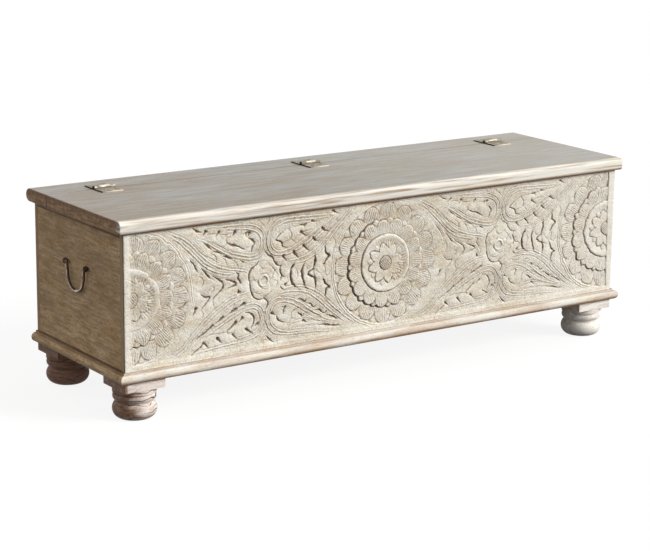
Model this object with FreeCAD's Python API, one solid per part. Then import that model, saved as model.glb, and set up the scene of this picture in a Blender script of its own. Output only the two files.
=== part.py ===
import FreeCAD, Part
import math
import os

# Long low storage trunk with a carved front, a hinged lid and four turned feet.
# Millimetres. X runs along the trunk, the carved front faces -Y, Z is up.
# The origin is on the floor, below the middle of the trunk's box.

V = FreeCAD.Vector

# Carcass
body_length = 1425.0
body_depth = 425.0
carcass_height = 338.0
front_thickness = 18.0
back_thickness = 15.0
end_thickness = 18.0
bottom_thickness = 12.0

# Carved front: plain strips round a sunk field with three rosettes and two bays between them
carve_depth = 7.5
end_strip = 19.0
bottom_strip = 10.0
rosette_inset = 21.0
carving_shift = -4.0
bay_shift = 5.0
wire_width = 3.4
wire_pitch = 9.0
chip_width = 5.0
groove_width = 4.5

# Heights in the carving, as shares of its depth from the bottom of the cuts to the face
root_share = 0.06
ground_share = 0.2
field_share = 0.75
wire_share = 0.93
chip_floor_share = 0.3

# Radii in the carving, as shares of half the height of the field
rim_shares = ((1.04, 0.88), (1.007, 0.78), (0.974, 0.88))
outer_petal_shares = (0.66, 0.82, 0.967)
outer_petal_height_shares = (0.3, 0.85)
inner_petal_shares = (0.45, 0.603, 0.709)
inner_petal_height_shares = (0.5, 0.97)
dish_shares = ((0.0, 0.62), (0.335, 0.62), (0.425, 0.97), (0.46, 0.93))
heart_petal_shares = (0.09, 0.245, 0.33)
heart_petal_height_shares = (0.64, 0.9)
boss_shares = ((0.0, 0.97), (0.06, 0.97), (0.116, 0.8))
petal_edge_share = 0.02
half_petal_share = 0.5
petal_count = 16
heart_petal_count = 8
flower_petal_shares = (0.08, 0.235, 0.28)
flower_petal_height_shares = (0.7, 0.88)
flower_petal_count = 6
eyelet_shares = ((0.066, 0.95), (0.096, 0.95))
eyelet_hole_share = 0.052
eyelet_floor_share = 0.45

# Places in a quarter of a bay, from its middle along and up, as shares of half the height of the field
paisley_head_shares = (0.272, 0.623)
paisley_head_radius_share = 0.265
paisley_tip_shares = (1.344, 0.868)
paisley_wire_shares = ((1.0, 0.915), (0.8, 0.71))
band_shares = ((0.35, 0.225), (1.02, 0.45), (1.58, 0.92))

# Chip cuts: start, end and how far the middle bends aside.
# Two opposite quarters of a bay have the slanting chips, the other two have them in a row.
slant_chip_shares = (
    (0.325, 0.335, 0.385, 0.26, 0), (0.505, 0.38, 0.595, 0.275, 0), (0.695, 0.455, 0.795, 0.36, 0),
    (0.86, 0.56, 0.975, 0.48, 0), (1.04, 0.685, 1.165, 0.625, 0),
    (0.3, 0.69, 0.25, 0.47, 0.07), (0.4, 0.77, 0.475, 0.665, 0),
)
row_chip_shares = (
    (0.39, 0.335, 0.525, 0.375, 0), (0.59, 0.4, 0.74, 0.465, 0), (0.775, 0.5, 0.915, 0.565, 0),
    (0.955, 0.6, 1.08, 0.69, 0), (0.3, 0.69, 0.25, 0.47, 0.07), (0.375, 0.525, 0.68, 0.66, 0),
)
left_chip_shares = (
    (-0.515, 0.175, -0.445, 0.005, 0), (-0.49, -0.08, -0.475, -0.15, 0), (-0.695, 0.095, -0.53, -0.005, 0),
    (-0.53, -0.005, -0.67, -0.035, 0), (-0.94, 0.19, -0.75, 0.01, 0), (-0.75, 0.005, -0.92, -0.16, 0),
    (-1.125, 0.32, -0.96, 0.14, 0), (-1.145, -0.075, -0.99, -0.135, 0), (-0.99, -0.135, -1.125, -0.295, 0),
)
right_chip_shares = (
    (0.51, 0.17, 0.535, -0.15, 0.05), (0.695, 0.14, 0.72, -0.16, 0.04), (0.905, 0.255, 0.895, 0.095, 0),
    (0.89, 0.08, 0.79, 0.01, 0), (0.79, 0.01, 0.905, -0.07, 0), (0.905, -0.07, 0.915, -0.23, 0),
    (1.1, 0.375, 1.17, 0.24, 0), (1.17, 0.24, 1.075, 0.115, 0), (1.065, -0.12, 1.175, -0.255, 0),
    (1.175, -0.255, 1.1, -0.375, 0),
)

# Turned feet, from the floor up
foot_side = 102.0
sole_radius = 37.0
bun_radius = 51.0
bun_height = 38.0
neck_radius = 44.0
neck_height = 3.0
bead_radius = 50.0
bead_height = 18.0
groove_radius = 46.0
groove_height = 2.0
collar_radius = 50.5
collar_height = 11.0
block_height = 23.0

# Dowels that hold the feet, and the glue blocks above them
dowel_radius = 11.0
dowel_depth_in_foot = 45.0
dowel_depth_in_block = 20.0
glue_block_side = 72.0
glue_block_height = 28.0
dowel_clearance = 0.1

# Base moulding round the front and both ends
moulding_height = 26.0
moulding_front_reach = 13.0
moulding_end_reach = 17.0
nose_start_share = 0.5
nose_top_share = 0.84
ledge_share = 0.3

# Lid and the fixed rail behind it
top_thickness = 31.0
end_overhang = 16.0
lid_front_overhang = 10.0
rail_back_overhang = 15.0
seam_from_front = 334.0
seam_gap = 1.5
lid_rest_gap = 0.4
nose_upper_radius = 11.0
nose_lower_radius = 7.0
end_rounding = 4.0
plank_width_shares = (0.34, 0.33, 0.33)
plank_names = ("lid_plank_front", "lid_plank_middle", "lid_plank_rear")

# Battens that keep the lid flat
batten_width = 60.0
batten_thickness = 18.0
batten_end_gap = 24.0
batten_rounding = 5.0
batten_inset = 192.5
batten_names = ("lid_batten_left", "lid_batten_middle", "lid_batten_right")
batten_screw_shares = (0.15, 0.5, 0.85)
batten_screw_length = 34.0

# Surface hinges
hinge_inset = 134.0
hinge_names = ("left", "middle", "right")
leaf_length = 57.0
leaf_width = 44.0
leaf_thickness = 2.5
leaf_corner_radius = 3.0
knuckle_radius = 4.2
knuckle_lift = 0.3
middle_knuckle_length = 25.0
knuckle_gap = 0.3
knuckle_side_gap = 0.5
pin_radius = 2.0
pin_fixed_clearance = 0.03
pin_running_clearance = 0.06
pin_head_radius = 2.8
pin_head_height = 1.0

# Countersunk wood screws
screw_head_radius = 3.8
screw_head_height = 2.2
screw_shank_radius = 1.8
screw_length = 18.0
screw_clearance = 0.1
leaf_screw_shares = ((-0.3, 0.72), (0.0, 0.42), (0.3, 0.72))

# Drop handles on both ends
handle_height = 229.0
eye_spacing = 98.0
eye_ring_radius = 5.6
eye_wire_radius = 1.7
eye_standoff = 7.7
eye_shank_radius = 2.4
eye_shank_clearance = 0.1
clinch_length = 15.0
clinch_width = 4.0
clinch_thickness = 1.8
bail_wire_radius = 3.3
bail_drop = 60.0
bail_tip_length = 6.0
bail_leg_gap = 4.0
bail_tip_bend = 5.0
bail_foot_spread = 33.0
bail_foot_bend = 34.0

# Extra length that lets every cutter pass clear through its work
overrun = 5.0

# Main planes and axes
front_reach = max(moulding_front_reach, lid_front_overhang)
half_length = body_length / 2
half_top_length = half_length + end_overhang
y_front = front_reach - (front_reach + body_depth + rail_back_overhang) / 2
y_back = y_front + body_depth
y_inside_front = y_front + front_thickness
y_inside_back = y_back - back_thickness
x_inside_end = half_length - end_thickness
batten_x = half_length - batten_inset
collar_base = bun_height + neck_height + bead_height + groove_height
block_base = collar_base + collar_height
z_carcass = block_base + block_height
z_floor = z_carcass + bottom_thickness
z_seat = z_carcass + carcass_height
z_top = z_seat + top_thickness
y_seam = y_front + seam_from_front
y_lid_back = y_seam - seam_gap / 2
y_rail_front = y_seam + seam_gap / 2
y_lid_front = y_front - lid_front_overhang
y_rail_back = y_back + rail_back_overhang
z_lid = z_seat + lid_rest_gap
z_batten = z_lid - batten_thickness
hinge_z = z_top + knuckle_lift + knuckle_radius
hinge_x = half_length - hinge_inset
y_middle = (y_front + y_back) / 2
z_field = z_carcass + moulding_height + bottom_strip
carving_unit = (z_seat - z_field) / 2
z_carving = z_field + carving_unit
rosette_pitch = half_length - rosette_inset
z_eye = z_carcass + handle_height
x_eye = -half_length - eye_standoff


def block(low, high):
    """A box between two opposite corners."""
    size = high - low
    return Part.makeBox(size.x, size.y, size.z, low)


def rounded_wire(corners, closed):
    """Straight runs from corner to corner, each corner eased by an arc of its own radius."""
    entries = []
    exits = []
    arcs = []
    for index, (point, radius) in enumerate(corners):
        at_tip = not closed and index in (0, len(corners) - 1)
        if radius == 0 or at_tip:
            entries.append(point)
            exits.append(point)
            arcs.append(None)
            continue
        back = (corners[index - 1][0] - point).normalize()
        ahead = (corners[(index + 1) % len(corners)][0] - point).normalize()
        half_angle = back.getAngle(ahead) / 2
        inward = (back + ahead).normalize()
        tangent = radius / math.tan(half_angle)
        depth = radius / math.sin(half_angle) - radius
        entries.append(point + back * tangent)
        exits.append(point + ahead * tangent)
        arcs.append(Part.Arc(entries[-1], point + inward * depth, exits[-1]).toShape())
    edges = []
    last = len(corners) if closed else len(corners) - 1
    for index in range(len(corners)):
        if arcs[index] is not None:
            edges.append(arcs[index])
        following = entries[(index + 1) % len(corners)]
        if index < last and not exits[index].isEqual(following, Part.Precision.confusion()):
            edges.append(Part.makeLine(exits[index], following))
    return Part.Wire(edges)


def prism(wire, travel):
    """A flat closed outline pushed along a straight travel."""
    return Part.Face(wire).extrude(travel)


def mirrored_x(shape):
    """The same piece on the other end of the trunk."""
    return shape.mirror(V(0, 0, 0), V(1, 0, 0))


def end_edges(solid, upper_only):
    """Edges round the two end-grain faces of a top board, leaving out the glued sides."""
    picked = []
    for edge in solid.Edges:
        box = edge.BoundBox
        if box.XLength > Part.Precision.confusion():
            continue
        if upper_only and box.ZMax < z_top - Part.Precision.confusion():
            continue
        if upper_only and box.YLength < Part.Precision.confusion():
            continue
        picked.append(edge)
    return picked


def carving_y(height_share):
    """How far back a height in the carving lies; a share of 1 is the face of the board."""
    return y_front + carve_depth * (1 - height_share)


def field_box(low_share, high_share):
    """The field inside the plain strips, between two heights, up to the top edge of the board."""
    x = half_length - end_strip
    return block(V(-x, carving_y(high_share), z_field), V(x, carving_y(low_share), z_seat))


def turned(centre, shares):
    """A solid turned about an axis square to the face, from pairs of radius and height."""
    inner = shares[0][0]
    outer = shares[-1][0]
    section = [(inner, root_share), *shares, (outer, root_share), (inner, root_share)]
    points = [V(centre.x + radius * carving_unit, carving_y(height), centre.z)
              for radius, height in section]
    return Part.Face(Part.makePolygon(points)).revolve(centre, V(0, 1, 0), 360)


def lobed_outline(centre, count, turn_share, notch, tip):
    """A closed ring of round petals: each is an arc from notch to notch over its tip."""
    def at(radius, place):
        angle = 2 * math.pi * (place + turn_share) / count
        return V(centre.x + radius * math.cos(angle), centre.y, centre.z + radius * math.sin(angle))

    arcs = []
    for index in range(count):
        start = at(notch, index - half_petal_share)
        end = at(notch, index + half_petal_share)
        arcs.append(Part.Arc(start, at(tip, index), end).toShape())
    return Part.Wire(arcs)


def petal_ring(centre, count, turn_share, radius_shares, height_shares):
    """A ring that rises outwards like a shallow bowl, cut to petals."""
    foot, notch, tip = radius_shares
    bowl = turned(centre, [(foot, height_shares[0]), (tip + petal_edge_share, height_shares[1])])
    outline = lobed_outline(centre, count, turn_share, notch * carving_unit, tip * carving_unit)
    return bowl.common(prism(outline, V(0, carve_depth, 0)))


def make_rosette(centre):
    """Border, two rings of petals that overlap, a dish with a small flower in it and a boss."""
    return [
        turned(centre, rim_shares),
        petal_ring(centre, petal_count, 0, outer_petal_shares, outer_petal_height_shares),
        petal_ring(centre, petal_count, half_petal_share, inner_petal_shares, inner_petal_height_shares),
        turned(centre, dish_shares),
        petal_ring(centre, heart_petal_count, 0, heart_petal_shares, heart_petal_height_shares),
        turned(centre, boss_shares),
    ]


def teardrop(head, radius, tip):
    """An arc round the head and two straight sides that touch it and meet in the tip."""
    axis = tip - head
    lean = math.atan2(axis.z, axis.x)
    spread = math.acos(radius / axis.Length)

    def at(angle):
        return head + V(math.cos(angle), 0, math.sin(angle)) * radius

    first = at(lean + spread)
    last = at(lean - spread)
    round_end = Part.Arc(first, at(lean + math.pi), last).toShape()
    return Part.Wire([round_end, Part.makeLine(last, tip), Part.makeLine(tip, first)])


def flat_face(outlines):
    """A flat face inside one outline, or between an outer and an inner one."""
    return Part.makeFace(outlines, "Part::FaceMakerBullseye")


def raised(outlines):
    """A raised wire of the carving, with the sides of a flat face."""
    return flat_face(outlines).extrude(V(0, carving_y(root_share) - carving_y(wire_share), 0))


def paisley(head, tip):
    """Two teardrop wires, one inside the other."""
    wires = []
    radius = paisley_head_radius_share * carving_unit
    for pair in paisley_wire_shares:
        outlines = [teardrop(head, radius * share, head + (tip - head) * share) for share in pair]
        wires.append(raised(outlines))
    return wires


def bands(start, middle, end):
    """Two wires side by side along an arc through three places."""
    circle = Part.Circle(start, middle, end)

    def moved(place, offset):
        return circle.Center + (place - circle.Center).normalize() * (circle.Radius + offset)

    wires = []
    for near in (0, wire_pitch):
        far = near + wire_width
        wires.append(raised([Part.Wire([
            Part.Arc(*(moved(place, far) for place in (start, middle, end))).toShape(),
            Part.makeLine(moved(end, far), moved(end, near)),
            Part.Arc(*(moved(place, near) for place in (end, middle, start))).toShape(),
            Part.makeLine(moved(start, near), moved(start, far)),
        ])]))
    return wires


def chip(start, end, bend):
    """Cutter for a chip: a pointed outline on the field whose four sides slope down to one deep point."""
    along = end - start
    across = along.cross(V(0, 1, 0)).normalize()
    middle = start + along / 2 + across * bend
    rim = [start, middle + across * (chip_width / 2), end, middle - across * (chip_width / 2), start]
    point = V(middle.x, carving_y(chip_floor_share), middle.z)
    faces = [Part.Face(Part.makePolygon([near, far, point, near])) for near, far in zip(rim[:-1], rim[1:])]
    faces.append(Part.Face(Part.makePolygon(rim)))
    return Part.makeSolid(Part.makeShell(faces))


def make_bay(middle_x):
    """One bay: what stands up from its field and what is cut into it."""
    raised_parts = []
    cutters = []

    def at(place, side, rise, height_share):
        along, up = place
        return V(middle_x + side * along * carving_unit, carving_y(height_share),
                 z_carving + rise * up * carving_unit)

    def cut_chips(table, side, rise):
        for *ends, bend in table:
            start = at(ends[:2], side, rise, field_share)
            end = at(ends[2:], side, rise, field_share)
            cutters.append(chip(start, end, side * rise * bend * carving_unit))

    for side in (-1, 1):
        for rise in (-1, 1):
            raised_parts += paisley(at(paisley_head_shares, side, rise, wire_share),
                                    at(paisley_tip_shares, side, rise, wire_share))
            raised_parts += bands(*(at(place, side, rise, wire_share) for place in band_shares))
            cut_chips(slant_chip_shares if side == rise else row_chip_shares, side, rise)
    cut_chips(left_chip_shares + right_chip_shares, 1, 1)

    centre = V(middle_x, y_front, z_carving)
    notch, tip = (share * carving_unit for share in flower_petal_shares[1:])
    groove = flat_face([
        lobed_outline(centre, flower_petal_count, 0, notch + groove_width, tip + groove_width),
        lobed_outline(centre, flower_petal_count, 0, notch, tip),
    ])
    cutters.append(groove.extrude(V(0, carving_y(chip_floor_share) - y_front, 0)))
    cutters.append(Part.makeCylinder(eyelet_hole_share * carving_unit,
                                     carving_y(eyelet_floor_share) - y_front, centre, V(0, 1, 0)))
    raised_parts.append(petal_ring(centre, flower_petal_count, 0,
                                   flower_petal_shares, flower_petal_height_shares))
    raised_parts.append(turned(centre, eyelet_shares))
    return raised_parts, cutters


def make_front():
    """The front board: a sunk field between plain strips, with rosettes and bays carved in it."""
    board = block(V(-half_length, y_front, z_carcass), V(half_length, y_inside_front, z_seat))
    relief = []
    cutters = [field_box(field_share, 1)]
    for place in (-1, 0, 1):
        centre = V(carving_shift + place * rosette_pitch, y_front, z_carving)
        relief += make_rosette(centre)
        disc = Part.makeCylinder(rim_shares[0][0] * carving_unit, carving_y(ground_share) - y_front,
                                 centre, V(0, 1, 0))
        cutters.append(disc.common(field_box(ground_share, 1)))
    for side in (-1, 1):
        bay_parts, bay_cutters = make_bay(carving_shift + bay_shift + side * rosette_pitch / 2)
        relief += bay_parts
        cutters += bay_cutters
    field = field_box(0, 1)
    return board.cut(cutters).fuse([part.common(field) for part in relief]).removeSplitter()


def make_carcass():
    """Front and back run the full length and lap the ends; the bottom sits between all four."""
    front = make_front()
    back = block(V(-half_length, y_inside_back, z_carcass), V(half_length, y_back, z_seat))
    left = block(V(-half_length, y_inside_front, z_carcass), V(-x_inside_end, y_inside_back, z_seat))
    for side in (-1, 1):
        start = V(-half_length - overrun, y_middle + side * eye_spacing / 2, z_eye)
        left = left.cut(Part.makeCylinder(eye_shank_radius + eye_shank_clearance,
                                          end_thickness + 2 * overrun, start, V(1, 0, 0)))
    bottom = block(V(-x_inside_end, y_inside_front, z_carcass), V(x_inside_end, y_inside_back, z_floor))
    for x, y in foot_centres():
        bottom = bottom.cut(dowel_hole(x, y, z_carcass - overrun, z_floor + overrun))
    return {
        "front_panel": front,
        "back_panel": back,
        "left_end_panel": left,
        "right_end_panel": mirrored_x(left),
        "bottom_board": bottom,
    }


def foot_centres():
    """Foot axes: front left, front right, back left, back right."""
    half_side = foot_side / 2
    return [(side * (half_length - half_side), y)
            for y in (y_front + half_side, y_back - half_side) for side in (-1, 1)]


def dowel_hole(x, y, low, high):
    """Cutter for one dowel's hole between two heights."""
    return Part.makeCylinder(dowel_radius + dowel_clearance, high - low, V(x, y, low))


def make_foot(x, y):
    """A bun, bead and collar turned below a square block, in one piece of timber."""
    bead_base = bun_height + neck_height
    outline = [
        Part.makeLine(V(0, 0, 0), V(sole_radius, 0, 0)),
        Part.Arc(V(sole_radius, 0, 0), V(bun_radius, 0, bun_height / 2),
                 V(neck_radius, 0, bun_height)).toShape(),
        Part.makeLine(V(neck_radius, 0, bun_height), V(neck_radius, 0, bead_base)),
        Part.Arc(V(neck_radius, 0, bead_base), V(bead_radius, 0, bead_base + bead_height / 2),
                 V(groove_radius, 0, bead_base + bead_height)).toShape(),
        Part.makeLine(V(groove_radius, 0, bead_base + bead_height), V(groove_radius, 0, collar_base)),
        Part.makeLine(V(groove_radius, 0, collar_base), V(collar_radius, 0, collar_base)),
        Part.makeLine(V(collar_radius, 0, collar_base), V(collar_radius, 0, block_base)),
        Part.makeLine(V(collar_radius, 0, block_base), V(0, 0, block_base)),
        Part.makeLine(V(0, 0, block_base), V(0, 0, 0)),
    ]
    bun = Part.Face(Part.Wire(outline)).revolve(V(0, 0, 0), V(0, 0, 1), 360)
    half_side = foot_side / 2
    head = block(V(-half_side, -half_side, block_base), V(half_side, half_side, z_carcass))
    foot = bun.fuse(head)
    foot.translate(V(x, y, 0))
    return foot.cut(dowel_hole(x, y, z_carcass - dowel_depth_in_foot, z_carcass + overrun))


def make_feet():
    """Four feet, the glue blocks inside the corners and the dowels that join them."""
    nodes = {}
    dowels = []
    corners = ("front_left", "front_right", "back_left", "back_right")
    for name, (x, y) in zip(corners, foot_centres()):
        nodes["foot_" + name] = make_foot(x, y)
        x_wall = math.copysign(x_inside_end, x)
        y_wall = y_inside_front if y < y_middle else y_inside_back
        x_open = x_wall - math.copysign(glue_block_side, x)
        y_open = y_wall + math.copysign(glue_block_side, y_middle - y)
        glue = block(V(min(x_wall, x_open), min(y_wall, y_open), z_floor),
                     V(max(x_wall, x_open), max(y_wall, y_open), z_floor + glue_block_height))
        hole = dowel_hole(x, y, z_floor - overrun, z_floor + dowel_depth_in_block)
        nodes["glue_block_" + name] = glue.cut(hole)
        low = z_carcass - dowel_depth_in_foot
        dowels.append(Part.makeCylinder(dowel_radius, z_floor + dowel_depth_in_block - low, V(x, y, low)))
    nodes["foot_dowels"] = Part.makeCompound(dowels)
    return nodes


def moulding_outline(origin, outward, reach):
    """Base moulding in section: a round nose below a narrow ledge, standing out by reach."""
    def at(out_share, up_share):
        return origin + outward * (reach * out_share) + V(0, 0, moulding_height * up_share)

    nose = Part.Arc(at(nose_start_share, 0), at(1, nose_top_share / 2), at(nose_start_share, nose_top_share))
    return Part.Wire([
        Part.makeLine(at(0, 0), at(nose_start_share, 0)),
        nose.toShape(),
        Part.makeLine(at(nose_start_share, nose_top_share), at(ledge_share, nose_top_share)),
        Part.makeLine(at(ledge_share, nose_top_share), at(ledge_share, 1)),
        Part.makeLine(at(ledge_share, 1), at(0, 1)),
        Part.makeLine(at(0, 1), at(0, 0)),
    ])


def mitre_wedge():
    """Everything to the left of the mitre plane at the front left corner."""
    corner = V(-half_length, y_front, z_carcass)
    slope = V(moulding_end_reach, moulding_front_reach, 0)
    inner = corner + slope * ((body_depth + overrun) / moulding_front_reach)
    outer = corner - slope * 2
    away = V(-(inner.x - outer.x) - overrun, 0, 0)
    outline = Part.makePolygon([inner, outer, outer + away, inner + away, inner])
    return prism(outline, V(0, 0, moulding_height))


def make_mouldings():
    """Front moulding mitred to one on each end; the ends stop flush with the back."""
    wedge = mitre_wedge()
    reach_end = half_length + moulding_end_reach
    run = prism(moulding_outline(V(-reach_end, y_front, z_carcass), V(0, -1, 0), moulding_front_reach),
                V(2 * reach_end, 0, 0))
    front = run.cut(wedge).cut(mirrored_x(wedge))
    side_start = V(-half_length, y_front - moulding_front_reach, z_carcass)
    side = prism(moulding_outline(side_start, V(-1, 0, 0), moulding_end_reach),
                 V(0, moulding_front_reach + body_depth, 0))
    left = side.common(wedge)
    return {
        "base_moulding_front": front,
        "base_moulding_left": left,
        "base_moulding_right": mirrored_x(left),
    }


def top_board(y_near, y_far, z_low, near_radii, far_radii):
    """A board of the top, drawn in section from front to back and run along the trunk."""
    low_near, up_near = near_radii
    low_far, up_far = far_radii
    section = rounded_wire([
        (V(-half_top_length, y_near, z_low), low_near),
        (V(-half_top_length, y_near, z_top), up_near),
        (V(-half_top_length, y_far, z_top), up_far),
        (V(-half_top_length, y_far, z_low), low_far),
    ], True)
    return prism(section, V(2 * half_top_length, 0, 0))


def screw(tip_to_head, place, length):
    """A countersunk wood screw whose flat head ends at the given place."""
    head = Part.makeCone(screw_shank_radius, screw_head_radius, screw_head_height,
                         place - tip_to_head * screw_head_height, tip_to_head)
    shank = Part.makeCylinder(screw_shank_radius, length - screw_head_height,
                              place - tip_to_head * length, tip_to_head)
    return head.fuse(shank)


def screw_hole(tip_to_head, place, length):
    """Cutter for a screw's hole: its shank and countersink with a little room."""
    grown = screw_shank_radius + screw_clearance
    head = Part.makeCone(grown, screw_head_radius + screw_clearance, screw_head_height,
                         place - tip_to_head * screw_head_height, tip_to_head)
    shank = Part.makeCylinder(grown, length + screw_clearance,
                              place - tip_to_head * (length + screw_clearance), tip_to_head)
    return head.fuse(shank)


def leaf_screw_places(side):
    """Screw heads of every hinge leaf; side is 1 on the rail and -1 on the lid."""
    return [V(x + along * leaf_length, y_seam + side * across * leaf_width, z_top + leaf_thickness)
            for x in (-hinge_x, 0, hinge_x) for along, across in leaf_screw_shares]


def batten_screw_places():
    """Screw heads under the battens, sunk flush with their lower face."""
    length = y_lid_back - y_inside_front - 2 * batten_end_gap
    return [V(x, y_inside_front + batten_end_gap + share * length, z_batten)
            for x in (-batten_x, 0, batten_x) for share in batten_screw_shares]


def make_top():
    """Three glued lid planks on battens, and the fixed rail that the lid hangs from."""
    nodes = {}
    square = (0, 0)
    lid_cutters = [screw_hole(V(0, 0, 1), place, screw_length) for place in leaf_screw_places(-1)]
    batten_cutters = [screw_hole(V(0, 0, -1), place, batten_screw_length)
                      for place in batten_screw_places()]
    lid_depth = y_lid_back - y_lid_front
    y_near = y_lid_front
    for name, share in zip(plank_names, plank_width_shares):
        y_far = y_near + share * lid_depth
        at_front = name == plank_names[0]
        radii = (nose_lower_radius, nose_upper_radius) if at_front else square
        plank = top_board(y_near, y_far, z_lid, radii, square)
        plank = plank.makeFillet(end_rounding, end_edges(plank, True))
        nodes[name] = plank.cut(lid_cutters + batten_cutters)
        y_near = y_far
    round_back = (top_thickness / 2, top_thickness / 2)
    rail = top_board(y_rail_front, y_rail_back, z_seat, square, round_back)
    rail = rail.makeFillet(end_rounding, end_edges(rail, True))
    rail_cutters = [screw_hole(V(0, 0, 1), place, screw_length) for place in leaf_screw_places(1)]
    nodes["hinge_rail"] = rail.cut(rail_cutters)

    y_start = y_inside_front + batten_end_gap
    y_stop = y_lid_back - batten_end_gap
    for name, x in zip(batten_names, (-batten_x, 0, batten_x)):
        section = rounded_wire([
            (V(x - batten_width / 2, y_start, z_lid), 0),
            (V(x + batten_width / 2, y_start, z_lid), 0),
            (V(x + batten_width / 2, y_start, z_batten), batten_rounding),
            (V(x - batten_width / 2, y_start, z_batten), batten_rounding),
        ], True)
        nodes[name] = prism(section, V(0, y_stop - y_start, 0)).cut(batten_cutters)
    nodes["batten_screws"] = Part.makeCompound(
        [screw(V(0, 0, -1), place, batten_screw_length) for place in batten_screw_places()])
    return nodes


def knuckle(x_from, x_to, bore):
    """One barrel section of a hinge, bored for the pin."""
    start = V(x_from, y_seam, hinge_z)
    barrel = Part.makeCylinder(knuckle_radius, x_to - x_from, start, V(1, 0, 0))
    hole = Part.makeCylinder(bore, x_to - x_from, start, V(1, 0, 0))
    return barrel, hole


def make_leaf(x, side, own_spans, other_spans, bore):
    """A hinge leaf lying on the top: a plate with its own knuckles, cut back round the others'."""
    far = y_seam + side * leaf_width
    corner = leaf_corner_radius
    outline = rounded_wire([
        (V(x - leaf_length / 2, y_seam, z_top), 0),
        (V(x - leaf_length / 2, far, z_top), corner),
        (V(x + leaf_length / 2, far, z_top), corner),
        (V(x + leaf_length / 2, y_seam, z_top), 0),
    ], True)
    leaf = prism(outline, V(0, 0, leaf_thickness))
    reach = knuckle_radius + knuckle_side_gap
    for x_from, x_to in other_spans:
        leaf = leaf.cut(block(V(x_from - knuckle_gap, y_seam - reach, z_top - overrun),
                              V(x_to + knuckle_gap, y_seam + reach, z_top + leaf_thickness + overrun)))
    for x_from, x_to in own_spans:
        barrel, hole = knuckle(x_from, x_to, bore)
        leaf = leaf.fuse(barrel).cut(hole)
    places = [place for place in leaf_screw_places(side) if abs(place.x - x) < leaf_length / 2]
    return leaf.cut([screw_hole(V(0, 0, 1), place, screw_length) for place in places])


def make_pin(x):
    """Hinge pin with a riveted head at each end."""
    half = leaf_length / 2
    start = V(x - half, y_seam, hinge_z)
    shaft = Part.makeCylinder(pin_radius, leaf_length, start, V(1, 0, 0))
    end = start + V(leaf_length, 0, 0)
    left_head = Part.makeCylinder(pin_head_radius, pin_head_height, start, V(-1, 0, 0))
    right_head = Part.makeCylinder(pin_head_radius, pin_head_height, end, V(1, 0, 0))
    return shaft.fuse([left_head, right_head])


def make_hinges():
    """Three surface hinges across the seam: rail leaf, lid leaf and pin for each."""
    nodes = {}
    for name, x in zip(hinge_names, (-hinge_x, 0, hinge_x)):
        half = leaf_length / 2
        half_middle = middle_knuckle_length / 2
        outer = [(x - half, x - half_middle - knuckle_gap), (x + half_middle + knuckle_gap, x + half)]
        middle = [(x - half_middle, x + half_middle)]
        fixed_bore = pin_radius + pin_fixed_clearance
        running_bore = pin_radius + pin_running_clearance
        nodes["hinge_rail_leaf_" + name] = make_leaf(x, 1, outer, middle, fixed_bore)
        nodes["hinge_lid_leaf_" + name] = make_leaf(x, -1, middle, outer, running_bore)
        nodes["hinge_pin_" + name] = make_pin(x)
    for node, side in (("rail_hinge_screws", 1), ("lid_hinge_screws", -1)):
        nodes[node] = Part.makeCompound(
            [screw(V(0, 0, 1), place, screw_length) for place in leaf_screw_places(side)])
    return nodes


def make_bail():
    """Round iron bent to a U, with both tips turned outwards through the eyes."""
    eye_y = eye_spacing / 2
    leg_y = eye_y - bail_leg_gap - bail_wire_radius
    tip_y = eye_y + bail_tip_length
    route = [
        (V(x_eye, y_middle - tip_y, z_eye), 0),
        (V(x_eye, y_middle - leg_y, z_eye), bail_tip_bend),
        (V(x_eye, y_middle - bail_foot_spread, z_eye - bail_drop), bail_foot_bend),
        (V(x_eye, y_middle + bail_foot_spread, z_eye - bail_drop), bail_foot_bend),
        (V(x_eye, y_middle + leg_y, z_eye), bail_tip_bend),
        (V(x_eye, y_middle + tip_y, z_eye), 0),
    ]
    path = rounded_wire(route, False)
    section = Part.Wire(Part.makeCircle(bail_wire_radius, route[0][0], V(0, 1, 0)))
    return path.makePipeShell([section], True, False)


def make_eye(side):
    """A split pin: an eye round the bail's tip, a shank through the end and two clinched legs."""
    y = y_middle + side * eye_spacing / 2
    ring = Part.makeTorus(eye_ring_radius, eye_wire_radius, V(x_eye, y, z_eye), V(0, 1, 0))
    start = x_eye + eye_ring_radius
    inside = -x_inside_end + clinch_thickness
    shank = Part.makeCylinder(eye_shank_radius, inside - start, V(start, y, z_eye), V(1, 0, 0))
    legs = block(V(-x_inside_end, y - clinch_width / 2, z_eye - clinch_length),
                 V(inside, y + clinch_width / 2, z_eye + clinch_length))
    return ring.fuse([shank, legs])


def make_handles():
    """The same drop handle on both ends."""
    bail = make_bail()
    eyes = [make_eye(-1), make_eye(1)]
    return {
        "left_handle_bail": bail,
        "right_handle_bail": mirrored_x(bail),
        "left_handle_eyes": Part.makeCompound(eyes),
        "right_handle_eyes": Part.makeCompound([mirrored_x(eye) for eye in eyes]),
    }


def main():
    """Build every piece and write it to its own file."""
    os.makedirs("parts", exist_ok=True)
    nodes = {}
    for make in (make_carcass, make_feet, make_mouldings, make_top, make_hinges, make_handles):
        nodes.update(make())
    for name, shape in nodes.items():
        solids = shape.Solids
        assert shape.isValid() and solids, name
        print(name, len(solids), round(sum(solid.Volume for solid in solids)))
        piece = solids[0] if len(solids) == 1 else Part.makeCompound(solids)
        piece.exportStep("parts/" + name + ".step")
    print(len(nodes), "nodes; top at", z_top, "hinge axis at", y_seam, hinge_z)


main()
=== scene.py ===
# %% [markdown]
# A long low storage trunk: a carved front under a rubbed lime wash, a plain lid on three surface hinges, a
# drop handle on each end and four turned feet. The construction comes in as a fixed frame of named nodes.
# This file adds the looks: one carved board worked out as a height over the panel, and finishes for every
# other piece.

# %% load the frame
import bpy
import math
import numpy as np
from mathutils import Matrix, Vector


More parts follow.
